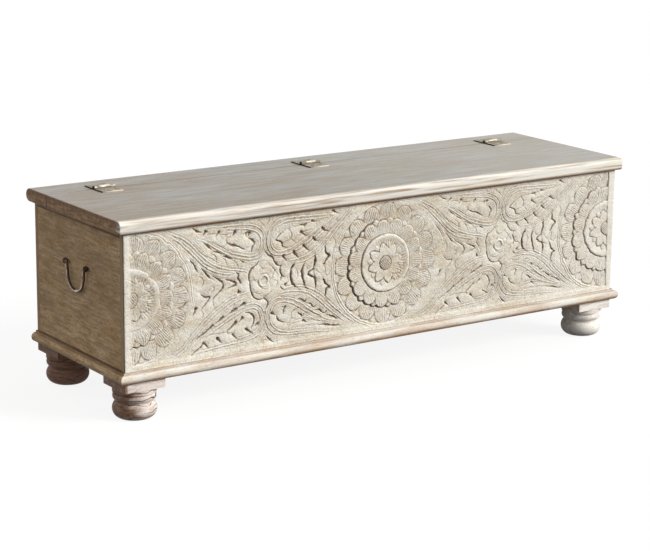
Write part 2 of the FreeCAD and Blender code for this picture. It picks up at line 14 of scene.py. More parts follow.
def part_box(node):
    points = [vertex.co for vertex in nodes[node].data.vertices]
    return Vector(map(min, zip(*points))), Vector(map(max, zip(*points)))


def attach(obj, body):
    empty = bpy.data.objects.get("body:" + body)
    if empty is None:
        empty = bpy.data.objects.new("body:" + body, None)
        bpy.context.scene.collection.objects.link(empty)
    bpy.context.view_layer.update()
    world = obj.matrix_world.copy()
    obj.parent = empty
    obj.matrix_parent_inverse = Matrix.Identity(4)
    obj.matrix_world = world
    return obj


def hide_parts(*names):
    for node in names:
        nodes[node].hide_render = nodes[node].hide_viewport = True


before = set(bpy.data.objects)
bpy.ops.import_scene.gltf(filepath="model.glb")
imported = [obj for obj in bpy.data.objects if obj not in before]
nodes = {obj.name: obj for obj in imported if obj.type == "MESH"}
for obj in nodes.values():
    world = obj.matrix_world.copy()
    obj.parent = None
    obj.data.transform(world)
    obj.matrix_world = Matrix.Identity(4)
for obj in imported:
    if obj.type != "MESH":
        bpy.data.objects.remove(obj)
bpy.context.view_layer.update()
MM = 0.001

# %% [markdown]
# The picture was taken with a long lens from the front left, a little above the lid. Fitting a pinhole camera
# to the trunk's corners gives the place, the three turns and the focal length in pixels of a 650 pixel wide
# frame. The turns become a matrix whose columns are the camera's right, up and back directions.

# %% camera
FRAME_WIDTH_PX = 650
FOCAL_PX = 2079.9
SENSOR_MM = 36.0
CAMERA_PLACE = Vector((-2.8429, -4.0867, 1.4381))
YAW, PITCH, ROLL = (math.radians(a) for a in (34.501, 13.922, 0.628))

forward = Vector((math.sin(YAW) * math.cos(PITCH), math.cos(YAW) * math.cos(PITCH), -math.sin(PITCH)))
level_right = Vector((math.cos(YAW), -math.sin(YAW), 0))
level_up = level_right.cross(forward)
right = math.cos(ROLL) * level_right + math.sin(ROLL) * level_up
up = math.cos(ROLL) * level_up - math.sin(ROLL) * level_right
camera_data = bpy.data.cameras.new("camera")
camera_data.sensor_fit = "HORIZONTAL"
camera_data.sensor_width = SENSOR_MM
camera_data.lens = FOCAL_PX / FRAME_WIDTH_PX * SENSOR_MM
camera_data.clip_end = 200
camera = bpy.data.objects.new("camera", camera_data)
camera.matrix_world = Matrix.Translation(CAMERA_PLACE) @ Matrix((right, up, -forward)).transposed().to_4x4()
bpy.context.scene.collection.objects.link(camera)
bpy.context.scene.camera = camera
print("lens", round(camera_data.lens, 1), "mm")

# %% [markdown]
# Node trees are wordy, so a small class keeps the materials readable. It wraps what a node puts out, and
# plain arithmetic on it adds the nodes: a * b becomes a Multiply node. A few helpers add what comes up most:
# a node with its sockets filled, a soft threshold, the largest of several masks and a mix of two colours.

# %% node helpers
class Value:
    """What a node puts out; arithmetic on it adds Math nodes to the same tree."""

    def __init__(self, socket):
        self.socket = socket
        self.tree = socket.id_data

    def calc(self, operation, *others):
        """One Math node that takes this value and the others."""
        made = self.tree.nodes.new("ShaderNodeMath")
        made.operation = operation
        for socket, value in zip(made.inputs, (self, *others)):
            fill(socket, value)
        return take(made)

    def __add__(self, other):
        return self.calc("ADD", other)

    def __sub__(self, other):
        return self.calc("SUBTRACT", other)

    def __mul__(self, other):
        return self.calc("MULTIPLY", other)

    def __truediv__(self, other):
        return self.calc("DIVIDE", other)

    def __abs__(self):
        return self.calc("ABSOLUTE")


def take(made, label=0):
    """One output of a node."""
    return Value(made.outputs[label])


def fill(socket, value):
    """Links a socket to a Value, or sets its own number or colour."""
    if isinstance(value, Value):
        value.tree.links.new(value.socket, socket)
    else:
        socket.default_value = value


def put(tree, kind, settings=None, **sockets):
    """Adds a node with its settings and sockets; a socket's name is written with _ for a space."""
    made = tree.nodes.new(kind)
    for key, value in (settings or {}).items():
        setattr(made, key, value)
    for key, value in sockets.items():
        fill(made.inputs[key.replace("_", " ")], value)
    return made


def soft(value, start, stop):
    """0 before start, 1 after stop, with a smooth change between; start may lie above stop."""
    return take(put(value.tree, "ShaderNodeMapRange", {"interpolation_type": "SMOOTHSTEP"},
                    Value=value, From_Min=start, From_Max=stop))


def most(first, *others):
    """The largest of several values."""
    for other in others:
        first = first.calc("MAXIMUM", other)
    return first


def inverse(value):
    """1 where the value is 0 and 0 where it is 1."""
    return value * -1.0 + 1.0


def blend(share, first, second):
    """A colour that goes from first to second as share goes from 0 to 1."""
    made = put(share.tree, "ShaderNodeMix", {"data_type": "RGBA"})
    share_in, first_in, second_in, colour_out = 0, 6, 7, 2
    fill(made.inputs[share_in], share)
    fill(made.inputs[first_in], first)
    fill(made.inputs[second_in], second)
    return take(made, colour_out)


def group_of(name, inputs, outputs):
    """An empty shader group with named inputs (name, kind, value) and outputs (name, kind)."""
    tree = bpy.data.node_groups.new(name, "ShaderNodeTree")
    for label, kind, value in inputs:
        socket = tree.interface.new_socket(label, in_out="INPUT", socket_type="NodeSocket" + kind)
        if value is not None:
            socket.default_value = value
    for label, kind in outputs:
        tree.interface.new_socket(label, in_out="OUTPUT", socket_type="NodeSocket" + kind)
    entry = tree.nodes.new("NodeGroupInput")
    given = {label: take(entry, label) for label, _, _ in inputs}
    return tree, given, tree.nodes.new("NodeGroupOutput").inputs


def srgb(red, green, blue):
    """A screen colour from 0 to 255 as the linear colour that a shader takes."""
    share = np.array([red, green, blue]) / 255
    linear = np.where(share < 0.04045, share / 12.92, ((share + 0.055) / 1.055) ** 2.4)
    return (*linear.tolist(), 1.0)


print("mid grey in linear light", round(srgb(128, 128, 128)[0], 3))

# %% [markdown]
# Every wooden piece is brown hardwood under a thin lime wash that was rubbed back, so the same two effects
# serve them all. The first is the figure of the timber: long streaks, short dark pores, slow blotches and a
# change of hue. It works in a space whose first axis runs along the grain, so a material turns its
# coordinates before it asks.

# %% timber figure group
def make_timber_figure():
    """Four masks: noises stretched along the first axis of the position, each cut by a soft threshold."""
    tree, given, result = group_of(
        "timber_figure",
        [("Position", "Vector", None), ("Along", "Float", 1.6), ("Across", "Float", 46.0),
         ("Waviness", "Float", 0.02)],
        [("Streak", "Float"), ("Pore", "Float"), ("Blotch", "Float"), ("Tint", "Float")])

    def both(operation, first, second):
        made = put(tree, "ShaderNodeVectorMath", {"operation": operation})
        fill(made.inputs[0], first)
        fill(made.inputs[1], second)
        return take(made)

    wander = put(tree, "ShaderNodeTexNoise", Vector=given["Position"], Scale=5.0, Detail=2.0)
    shift = put(tree, "ShaderNodeVectorMath", {"operation": "SCALE"}, Vector=take(wander, "Color"),
                Scale=given["Waviness"])
    bent = both("ADD", given["Position"], take(shift))

    def mask(label, along, across, detail, roughness, start, stop):
        scale = take(put(tree, "ShaderNodeCombineXYZ", X=along, Y=across, Z=across))
        stretched = both("MULTIPLY", bent, scale)
        noise = put(tree, "ShaderNodeTexNoise", Vector=stretched, Scale=1.0, Detail=detail,
                    Roughness=roughness)
        fill(result[label], soft(take(noise, "Fac"), start, stop))

    mask("Streak", given["Along"], given["Across"], 5.0, 0.62, 0.38, 0.62)
    mask("Pore", given["Along"] * 18.0, given["Across"] * 11.0, 2.0, 0.5, 0.56, 0.72)
    mask("Blotch", 3.0, 9.0, 3.0, 0.55, 0.3, 0.7)
    mask("Tint", 16.0, 40.0, 5.0, 0.7, 0.4, 0.68)
    return tree


timber_figure = make_timber_figure()
print("group", timber_figure.name)

# %% [markdown]
# The second effect is the lime itself. The wash stays in the streaks and on broad faces, and goes where hands
# and sandpaper reach: along edges and in patches, where the brown timber comes back. Crests took more lime,
# and deep cuts were stained dark before; on some pieces the same two masks also carry painted light and
# painted shade. The group turns those masks into one colour, a roughness and a height for bump.

# %% lime wash group
PALE_LIME_AND_LIGHT = srgb(248, 244, 234)


def make_lime_wash():
    """Lime over timber where it was kept, then thick lime and painted light on the crests, and stains and
    painted shade in the recesses.
    """
    tree, given, result = group_of(
        "lime_wash",
        [("Streak", "Float", 0.5), ("Pore", "Float", 0.0), ("Blotch", "Float", 0.5), ("Rubbed", "Float", 0.0),
         ("Recess", "Float", 0.0), ("Crest", "Float", 0.0), ("Cover", "Float", 0.8), ("Tint", "Float", 0.0),
         ("Lime", "Color", srgb(225, 218, 205)), ("Warm Lime", "Color", srgb(220, 204, 180)),
         ("Timber", "Color", srgb(140, 110, 80)), ("Stain", "Color", srgb(70, 48, 30))],
        [("Color", "Color"), ("Roughness", "Float"), ("Height", "Float")])
    in_streaks = given["Streak"] * 0.45 + 0.62
    in_patches = given["Blotch"] * 0.35 + 0.8
    kept = in_streaks * in_patches * given["Cover"] - given["Pore"] * 0.45 - given["Rubbed"]
    kept.socket.node.use_clamp = True
    lime = blend(given["Tint"], given["Lime"], given["Warm Lime"])
    washed = blend(given["Crest"], blend(kept, given["Timber"], lime), PALE_LIME_AND_LIGHT)
    fill(result["Color"], blend(given["Recess"], washed, given["Stain"]))
    fill(result["Roughness"], kept * 0.2 + 0.55)
    fill(result["Height"], given["Streak"] * 0.6 - given["Pore"])
    return tree


lime_wash = make_lime_wash()
print("group", lime_wash.name)

# %% [markdown]
# A wooden material is then short: pick which way the grain runs, place the figure, place the wash, and join
# the result to one shader. Masks that depend on where an edge lies on the trunk are passed in as small
# functions of the three coordinates, because the frame says exactly where each edge is.

# %% limed wood material
GRAIN_ORDER = {"x": "XYZ", "y": "YXZ"}
DENT_DEPTH = 0.6 * MM
WOOD_SHEEN = 0.25


def new_material(name):
    """A material, its tree, the sockets of its shader, its object coordinates and their three parts."""
    material = bpy.data.materials.new(name)
    material.use_nodes = True
    tree = material.node_tree
    place = take(tree.nodes.new("ShaderNodeTexCoord"), "Object")
    parts = put(tree, "ShaderNodeSeparateXYZ", Vector=place)
    xyz = {axis: take(parts, axis) for axis in "XYZ"}
    return material, tree, tree.nodes["Principled BSDF"].inputs, place, xyz


def limed_wood(name, grain, lime, timber, warm=None, stain_and_shade=srgb(62, 42, 26), cover=0.85, along=1.6,
               across=46.0, waviness=0.02, rubbed=None, recess=None, crest_and_light=None, bump=0.25):
    """Timber under lime; timber is a colour or, like rubbed, recess and crest_and_light, a function of x, y
    and z.
    """
    material, tree, shader, _, xyz = new_material(name)
    axes = {slot: xyz[axis] for slot, axis in zip("XYZ", GRAIN_ORDER[grain])}
    turned = put(tree, "ShaderNodeCombineXYZ", **axes)
    figure = put(tree, "ShaderNodeGroup", {"node_tree": timber_figure}, Position=take(turned), Along=along,
                 Across=across, Waviness=waviness)
    looks = {label: take(figure, label) for label in ("Streak", "Pore", "Blotch", "Tint")}
    for label, look in (("Timber", timber), ("Rubbed", rubbed), ("Recess", recess), ("Crest", crest_and_light)):
        if look is not None:
            looks[label] = look(*xyz.values()) if callable(look) else look
    wash = put(tree, "ShaderNodeGroup", {"node_tree": lime_wash}, Cover=cover, Lime=lime,
               Warm_Lime=warm or lime, Stain=stain_and_shade, **looks)
    dents = put(tree, "ShaderNodeBump", Strength=bump, Distance=DENT_DEPTH, Height=take(wash, "Height"))
    fill(shader["Base Color"], take(wash, "Color"))
    fill(shader["Roughness"], take(wash, "Roughness"))
    fill(shader["Normal"], take(dents))
    fill(shader["Specular IOR Level"], WOOD_SHEEN)
    return material


def finish_nodes(material, *names):
    """Gives whole CAD nodes one material."""
    for name in names:
        slots = nodes[name].data.materials
        slots.clear()
        slots.append(material)
    print(material.name, "on", len(names), "nodes")


print("grain along", " or ".join(GRAIN_ORDER))

# %% [markdown]
# The lid and the rail behind it have a greyer wash with long streaks. What became of it depends on the place:
# along the rounded nose, over the ends, on the underside and in patches along an edge. Each of these is a
# small mask.

# %% lid masks
lid_low, lid_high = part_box("lid_plank_front")
rail_front_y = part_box("hinge_rail")[0].y
seat_z, top_z, end_x = lid_low.z, lid_high.z, lid_high.x


def past(value, place, start, stop):
    """A soft threshold between two distances from a place on one axis, in mm."""
    return soft(value, place + start * MM, place + stop * MM)


def close_to(value, place, near, far):
    """1 within the near distance of a place on one axis and 0 beyond the far one, both in mm."""
    return past(abs(value - place), 0, far, near)


def cloud(x, y, z, *scale, detail=3.0):
    """Noise over the three coordinates, each with its own scale per metre."""
    spot = put(x.tree, "ShaderNodeCombineXYZ", X=x * scale[0], Y=y * scale[1], Z=z * scale[2])
    return take(put(x.tree, "ShaderNodeTexNoise", Vector=take(spot), Scale=1.0, Detail=detail), "Fac")


def patches(x, y, z):
    """Patches along an edge, a hand long."""
    return soft(cloud(x, y, z, 14, 20, 60), 0.3, 0.55)


def near_ends(x, y, inner, outer):
    """Rises over both ends of the top, between two distances from their faces; the right nose is left out."""
    ends = past(abs(x), end_x, -inner, -outer)
    behind_nose = past(y, lid_low.y, 20, 40)
    return ends * most(behind_nose, soft(x, 0.1, -0.1))


def underside(z):
    """The face below the lid, which no wash reached."""
    return past(z, seat_z, 1.0, 0.3)


def nose_lines(x, y, z, start, stop):
    """Long thin lines along the nose: a noise stretched along it."""
    front = past(y, lid_low.y, 24, 4)
    return soft(cloud(x, y, z, 7, 190, 190), start, stop) * front


print("lid from", round(seat_z / MM), "to", round(top_z / MM), "mm")

# %% [markdown]
# With these masks the top is told in four parts. The nose took more lime in thin lines, its lower edge is
# rubbed brown in patches, and the ends and the underside show bare timber. The right part of the top is
# painted lighter and the left a little darker, as painted light from the right. Dirt sits in the seam
# between lid and rail and round the ends, and stain with painted shade runs along the lower edge of the lid.

# %% lid and rail
def lid_timber(x, y, z):
    """Grey-brown under the wash of the top, warmer brown below it, on both ends and along the nose."""
    nose = past(y, lid_low.y, 14, 6)
    bare = most(nose, near_ends(x, y, 3.4, 1.2), underside(z))
    grain = soft(cloud(x, y, z, 4, 70, 70), 0.36, 0.64)
    return blend(bare, srgb(149, 127, 102), blend(grain, srgb(158, 120, 84), srgb(194, 158, 118)))


def lid_rubbed_and_shade(x, y, z):
    """Rubbed along the lower half of the nose, over both ends and below, and painted shade a little towards
    the left.
    """
    low_half = past(z, seat_z, 11, 4) * patches(x, y, z)
    nose = most(low_half, nose_lines(x, y, z, 0.5, 0.66) * 0.5) * 0.65
    # Painted shade: a little more bare timber towards the left end.
    left = soft(x, 0.35, -0.75) * 0.12
    return most(nose, near_ends(x, y, 3.4, 1.2), underside(z), left)


def lid_lime_and_light(x, y, z):
    """Thick lime in lines along the upper part of the nose, and painted light over the right part of the top.
    """
    nose = nose_lines(x, y, z, 0.74, 0.42) * past(z, seat_z, 3, 9)
    # Painted light, growing towards the right end.
    right = soft(x, -0.3, 0.7) * 0.16
    left_corner = past(x, -end_x, 50, 10) * 0.2
    return most(nose * (right + left_corner + 0.78), right)


def lid_seam_and_shade(x, y, z):
    """Dark where the lid meets the rail, stained and in painted shade along the lower edge of the lid, and in
    a band and short lines on the ends.
    """
    ends = near_ends(x, y, 3.0, 1.6)
    seam = close_to(y, rail_front_y, 1.6, 3.6) * most(ends * 0.6, 0.36)
    joint = close_to(y, rail_front_y, 0.6, 1.6) * ends * 0.96
    # Stain and painted shade along the lower edge of the lid, above its underside.
    under = past(z, seat_z, 4, 1) * inverse(underside(z)) * 0.7
    band = past(z, top_z, -13, -6) * ends * 0.72
    lines = (soft(cloud(x, y, z, 40, 22, 150), 0.42, 0.6) + 0.15) * ends * 0.6
    return most(seam, joint, under, band, lines)


top_wood = limed_wood("limed_top_wood", "x", srgb(178, 184, 187), lid_timber, warm=srgb(184, 184, 178),
                      stain_and_shade=srgb(98, 64, 40), cover=0.8, along=8.0, across=84.0, rubbed=lid_rubbed_and_shade,
                      recess=lid_seam_and_shade, crest_and_light=lid_lime_and_light, bump=0.4)
finish_nodes(top_wood, "lid_plank_front", "lid_plank_middle", "lid_plank_rear", "hinge_rail")

# %% [markdown]
# The ends and the back carry little lime: mostly brown timber with a faint horizontal figure. The corner
# above the moulding is darkened as painted shade, and a band below the lid as painted shadow. The front
# moulding took as much lime as the carving, with a rubbed lower edge and painted shade under the board.

# %% carcass and moulding
moulding_low, moulding_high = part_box("base_moulding_front")
NOSE_SHARE = 0.84
nose_z = moulding_low.z + NOSE_SHARE * (moulding_high.z - moulding_low.z)


def end_dirt_and_shade(x, y, z):
    """Painted shade in the corner above the moulding, a dark line on its step, a painted shadow below the
    lid, and faint clouds, dashes and flecks.
    """
    # Painted shade in the corner above the moulding.
    corner = close_to(z, moulding_high.z, 1.2, 3.2) * 0.8
    step = close_to(z, nose_z, 0.6, 2.0) * 0.5
    # Painted shadow below the overhanging lid.
    shadow_under_lid = close_to(z, seat_z, 9.5, 13.0) * 0.8
    clouds = soft(cloud(x, y, z, 8, 6, 26, detail=4.0), 0.42, 0.7) * 0.26
    dashes = soft(cloud(x, y, z, 60, 17, 250), 0.5, 0.64) * 0.27
    flecks = soft(cloud(x, y, z, 90, 90, 210), 0.53, 0.66) * 0.42
    return most(corner, step, shadow_under_lid, clouds, dashes, flecks)


def moulding_rubbed(x, y, z):
    """Rubbed in patches along the lower edge of the nose."""
    return past(z, moulding_low.z, 11, 2) * patches(x, y, z) * 0.85


def moulding_shade_and_lines(x, y, z):
    """Painted shade in the corner under the board, and a brown line on the step of the moulding."""
    # The first term is painted shade in the corner where the board meets the moulding.
    return most(close_to(z, moulding_high.z, 0.6, 1.8) * 0.35, close_to(z, nose_z, 0.6, 2.0) * 0.3)


side_wood = limed_wood("limed_side_wood", "y", srgb(252, 218, 176), srgb(120, 92, 60),
                       warm=srgb(226, 186, 136), stain_and_shade=srgb(74, 54, 36), cover=0.8, along=18.0,
                       across=150.0, recess=end_dirt_and_shade, bump=0.6)
back_wood = limed_wood("limed_back_wood", "x", srgb(206, 176, 140), srgb(142, 106, 70), cover=0.5, along=3.0,
                       across=60.0, bump=0.35)
front_wood = limed_wood("limed_front_moulding", "x", srgb(236, 232, 224), srgb(172, 130, 90),
                        warm=srgb(232, 222, 204), stain_and_shade=srgb(110, 78, 50), cover=1.0, along=5.0, across=60.0,
                        rubbed=moulding_rubbed, recess=moulding_shade_and_lines, bump=0.3)
finish_nodes(side_wood, "left_end_panel", "right_end_panel", "base_moulding_left", "base_moulding_right")
finish_nodes(back_wood, "back_panel")
finish_nodes(front_wood, "base_moulding_front")

# %% [markdown]
# The feet are a pinker timber. Turning cut across its growth lines, which show as dark wavy rings. Each foot
# has its own copy of the finish, lit and shaded by paint: the back feet are darker as painted shade under the
# trunk, the front right one is nearly white as painted light, and the left sides are bare timber darkened by
# wear and painted shade, most of all on the front left foot. Wood inside has no wash.

# %% feet and hidden wood
BLOCK_Z = moulding_low.z - 24 * MM
LINES_PER_METRE = 84.0


def foot_wood(node, lime, timber, cover, bare_and_shaded, lines):
    """Limed wood for one foot; bare_and_shaded is how bare and dark its left side is, by wear and painted
    shade, and lines how dark its growth lines are.
    """
    low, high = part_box(node)
    middle = (low.x + high.x) / 2

    def growth_lines(x, y, z):
        years = z * LINES_PER_METRE + cloud(x, y, z, 16, 16, 26, detail=2.0) * 3.2
        crisp = soft(years.calc("PINGPONG", 0.5), 0.13, 0.03)
        fade = soft(cloud(x, y, z, 26, 26, 90), 0.4, 0.56)
        turned = past(z, BLOCK_Z, 2, -2)
        return crisp * fade * (turned * 0.75 + 0.25) * lines

    # Bare timber on the left side, partly wear and partly painted shade.
    def bare_and_shaded_side(x, y, z):
        block = past(x, low.x, 9, 2)
        turned = soft(x, middle + 6 * MM, low.x) * past(z, BLOCK_Z, 0, -4)
        return most(block, turned) * bare_and_shaded

    return limed_wood("limed_" + node, "x", lime, timber, cover=cover, along=9.0, across=70.0, waviness=0.05,
                      stain_and_shade=srgb(62, 44, 34), rubbed=bare_and_shaded_side, recess=growth_lines, bump=0.5)


# Per foot: lime, timber, cover, how bare and shaded the left side is and how dark the growth lines are. The
# feet are lit and shaded copies of one finish: painted shade on the back ones, painted light on the front
# right.
FEET = {"foot_front_left": (srgb(244, 232, 224), srgb(140, 108, 87), 1.14, 0.95, 0.95),
        "foot_front_right": (srgb(255, 250, 243), srgb(172, 142, 118), 1.25, 0.1, 0.3),
        "foot_back_left": (srgb(206, 168, 146), srgb(126, 92, 74), 0.52, 0.3, 0.85),
        "foot_back_right": (srgb(236, 220, 206), srgb(136, 108, 90), 0.85, 0.2, 0.5)}
for node, finish in FEET.items():
    finish_nodes(foot_wood(node, *finish), node)
bare_wood = limed_wood("bare_wood", "x", srgb(176, 144, 106), srgb(136, 100, 66), cover=0.4, along=2.0,
                       across=40.0)
finish_nodes(bare_wood, "bottom_board", "foot_dowels",
             *(f"glue_block_{place}" for place in ("front_left", "front_right", "back_left", "back_right")),
             *(f"lid_batten_{place}" for place in ("left", "middle", "right")))

# %% [markdown]
# The metal is old: dull brass hinges, steel screws and forged iron handles. All of it is one recipe, a metal
# whose tarnish spreads by noise and changes colour, gloss and metal look together. Painted highlights and
# painted shade are masks on top.

# %% metal recipe and screws
PAINTED_HIGHLIGHT_TONE, PAINTED_SHADE_TONE = srgb(236, 226, 210), srgb(46, 34, 26)
PIT_DEPTH = 0.4 * MM


def aged_metal(name, bright, tarnish, spread=(0.4, 0.62), scale=90.0, gloss=(0.32, 0.62), painted_shade=None,
               painted_highlight=None):
    """Metal that goes from bright to tarnish by noise; painted_shade and painted_highlight are functions of
    x, y and z.
    """
    material, tree, shader, place, xyz = new_material(name)
    noise = take(put(tree, "ShaderNodeTexNoise", Vector=place, Scale=scale, Detail=4.0, Roughness=0.6), "Fac")
    dull = soft(noise, *spread)
    colour = blend(dull, bright, tarnish)
    # Painted highlights first, then painted shade, over the metal colour.
    for mask, tone in ((painted_highlight, PAINTED_HIGHLIGHT_TONE), (painted_shade, PAINTED_SHADE_TONE)):
        if mask is not None:
            colour = blend(mask(*xyz.values()), colour, tone)
    pits = put(tree, "ShaderNodeBump", Strength=0.2, Distance=PIT_DEPTH, Height=noise)
    fill(shader["Base Color"], colour)
    fill(shader["Roughness"], dull * (gloss[1] - gloss[0]) + gloss[0])
    fill(shader["Metallic"], dull * -0.45 + 0.85)
    fill(shader["Normal"], take(pits))
    return material


steel = aged_metal("screw_steel", srgb(170, 166, 156), srgb(96, 88, 76))
finish_nodes(steel, "rail_hinge_screws", "lid_hinge_screws", "batten_screws")

# %% [markdown]
# Each hinge gets a painted highlight on top of its middle knuckle and along the front edge of the lid's leaf,
# and painted shade along the left edge of both leaves. The three hinges stand evenly apart, so one wrapped
# coordinate serves all.

# %% hinges
leaf_low, leaf_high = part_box("hinge_lid_leaf_right")
hinge_x = (leaf_low.x + leaf_high.x) / 2


def on_leaf(x):
    """Place along a hinge: x counted from the middle of the nearest one, from -1 to 1 over its leaves."""
    return x.calc("WRAP", hinge_x / 2, -hinge_x / 2) / ((leaf_high.x - leaf_low.x) / 2)


def shaded_left_edge(x, y, z):
    """Painted shade along the left edge of every leaf."""
    return soft(on_leaf(x), -0.92, -0.96)


def hinge_highlights(x, y, z):
    """Painted highlights on top of the middle knuckles and in a thin line along the front edge of the lid's
    leaves.
    """
    place = on_leaf(x)
    middle = soft(place, -0.55, -0.35) * soft(place, 0.6, 0.45)
    knuckle = past(z, leaf_high.z, -3.4, -1.4) * middle * 0.85
    front = past(y, leaf_low.y, 1.6, 0.6) * soft(place, -0.9, 0.2) * 0.8
    return most(knuckle, front)


brass = aged_metal("aged_brass", srgb(176, 169, 154), srgb(136, 128, 115), spread=(0.36, 0.56),
                   gloss=(0.5, 0.75), painted_shade=shaded_left_edge, painted_highlight=hinge_highlights)
for side in ("left", "middle", "right"):
    finish_nodes(brass, "hinge_rail_leaf_" + side, "hinge_lid_leaf_" + side, "hinge_pin_" + side)
print("hinges at", [round(s * hinge_x / MM, 1) for s in (-1, 0, 1)])

# %% [markdown]
# Each handle is a bail of round iron in two dark eyes. It gets a painted shine along the side that is turned
# to the back and painted shade along the other, so the mask has to know on which side of the wire's middle
# line a place lies.

# %% handles
bail_low, bail_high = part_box("left_handle_bail")
BAIL_WIRE, BAIL_BEND, BAIL_FLAT, BAIL_SLANT = 3.3 * MM, 34 * MM, 3.6 * MM, 0.145
bail_y = (bail_low.y + bail_high.y) / 2
bend_z = bail_low.z + BAIL_WIRE + BAIL_BEND


def lit_side(y, z):
    """1 on the outer side of the bail's rear leg and on the inner side of its front leg.

    The distance from the middle line is that from two bends with a short flat between them, and above the
    bends that from two legs that slant outwards. It changes its sign from the rear half to the front one.
    """
    past_flat = most(abs(y - bail_y) - BAIL_FLAT, 0.0)
    rise = z - bend_z
    fall = rise.calc("MINIMUM", 0.0)
    reach = (past_flat * past_flat + fall * fall).calc("SQRT")
    outwards = reach - most(rise, 0.0) * BAIL_SLANT - BAIL_BEND
    front = past(y, bail_y, 2, -10)
    return past(outwards * (front * -2.0 + 1.0), 0, -2.2, 0.4)


def bail_shine(x, y, z):
    """Bright along the lit side of the bail, below its eyes."""
    return soft(lit_side(y, z), 0.45, 0.8) * past(z, bail_high.z, -7, -14) * 0.6


def bail_shade(x, y, z):
    """Painted shade along the other side of the bail."""
    return soft(lit_side(y, z), 0.5, 0.1) * 0.85


iron = aged_metal("aged_iron", srgb(150, 122, 102), srgb(84, 66, 56), scale=120.0, gloss=(0.4, 0.7),
                  painted_shade=bail_shade, painted_highlight=bail_shine)
dark_iron = aged_metal("dark_iron", srgb(92, 70, 58), srgb(50, 38, 32), scale=120.0, gloss=(0.4, 0.7))
finish_nodes(iron, "left_handle_bail", "right_handle_bail")
finish_nodes(dark_iron, "left_handle_eyes", "right_handle_eyes")

# %% [markdown]
# The front is what the trunk is known for. A carver draws the pattern on the board, sinks the ground and
# rounds the forms, so every point of the board has one depth. That makes it a height over two coordinates: x
# along the board from its left end and d down from the lid, both in millimetres. The grid is a little over a
# millimetre. A second grid of the same size holds the dark stain that was left in the cuts, and painted shade
# in the steps of the rosettes and along the top edge under the lid.

# %% carving grid
panel_low, panel_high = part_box("front_panel")
BOARD = (panel_high.x - panel_low.x) / MM
SHOWN = (panel_high.z - moulding_high.z) / MM
STEP = 1.05
RELIEF = 7.5
FIELD_HEIGHT = 5.5
across_mm = np.linspace(0, BOARD, round(BOARD / STEP) + 1)
down_mm = np.linspace(0, SHOWN, round(SHOWN / STEP) + 1)
X, D = np.meshgrid(across_mm, down_mm, indexing="ij")
height = np.full(X.shape, FIELD_HEIGHT)
stain_and_shade = np.zeros(X.shape)


def drift(cell, seed):
    """Slow random wander over the board: random values on a lattice of cell mm, joined by a smooth ramp."""
    lattice = np.random.default_rng(seed).uniform(-1, 1, (int(BOARD / cell) + 3, int(SHOWN / cell) + 3))
    i, u = np.divmod(across_mm / cell, 1)
    j, v = np.divmod(down_mm / cell, 1)
    u, v = u * u * (3 - 2 * u), v * v * (3 - 2 * v)
    i, j = i.astype(int), j.astype(int)
    first = lattice[i] * (1 - u[:, None]) + lattice[i + 1] * u[:, None]
    return first[:, j] * (1 - v) + first[:, j + 1] * v


hand_x = X + 0.5 * drift(60, 1) + 0.55 * drift(13, 2) + 0.6 * drift(5.5, 6)
hand_d = D + 0.5 * drift(60, 3) + 0.55 * drift(13, 4) + 0.6 * drift(5.5, 7)
pressure = 1.0 + 0.45 * drift(8, 5) + 0.35 * drift(4, 8)
print("carving grid", X.shape)

# %% [markdown]
# The bays between the rosettes are drawn with strokes, as a carver's pencil would. A stroke is a smooth curve
# through a few points, and all that is needed of it is how far each place on the board lies from it, and on
# which side. Wires stand up along a stroke, cuts sink along it, and a leaf is lifted on one side of its cut.

# %% strokes
WIRE_REACH, CUT_REACH = 19.0, 22.0
COMB_START, COMB_PITCH = 5.2, 3.6


def curve(points, pieces=5):
    """A smooth line through the points: between two of them a cubic with slopes from their neighbours."""
    p = np.array(points, float)
    padded = np.vstack([2 * p[0] - p[1], p, 2 * p[-1] - p[-2]])
    before, start, stop, after = (padded[k:len(padded) - 3 + k, None] for k in range(4))
    t = np.linspace(0, 1, pieces, endpoint=False)[None, :, None]
    line = 0.5 * (2 * start + (stop - before) * t + (2 * before - 5 * start + 4 * stop - after) * t ** 2
                  + (3 * start - before - 3 * stop + after) * t ** 3)
    return np.vstack([line.reshape(-1, 2), p[-1:]])


def stroke(points, x, d, reach):
    """Where a line through the points is near, its distance, the share of its length there and its side."""
    line = curve(points)
    near = ((x > line[:, 0].min() - reach) & (x < line[:, 0].max() + reach)
            & (d > line[:, 1].min() - reach) & (d < line[:, 1].max() + reach))
    px, pd = x[near], d[near]
    best = np.full(px.shape, reach ** 2)
    share, side = np.zeros(px.shape), np.ones(px.shape)
    for k, ((ax, ad), (bx, bd)) in enumerate(zip(line[:-1], line[1:])):
        ex, ed = bx - ax, bd - ad
        t = np.clip(((px - ax) * ex + (pd - ad) * ed) / (ex * ex + ed * ed + 1e-9), 0, 1)
        gap = (px - ax - t * ex) ** 2 + (pd - ad - t * ed) ** 2
        closer = gap < best
        best = np.where(closer, gap, best)
        share = np.where(closer, (k + t) / (len(line) - 1), share)
        side = np.where(closer, np.sign(ex * (pd - ad) - ed * (px - ax)), side)
    return near, np.sqrt(best), share, side


def fade_in(values, start, stop):
    """0 before start, 1 after stop and an even change between; start may lie above stop."""
    return np.clip((values - start) / (stop - start), 0, 1)


def bell(distance, width):
    """1 on the line, falling off on both sides with that half width."""
    return np.exp(-(distance / width) ** 2)


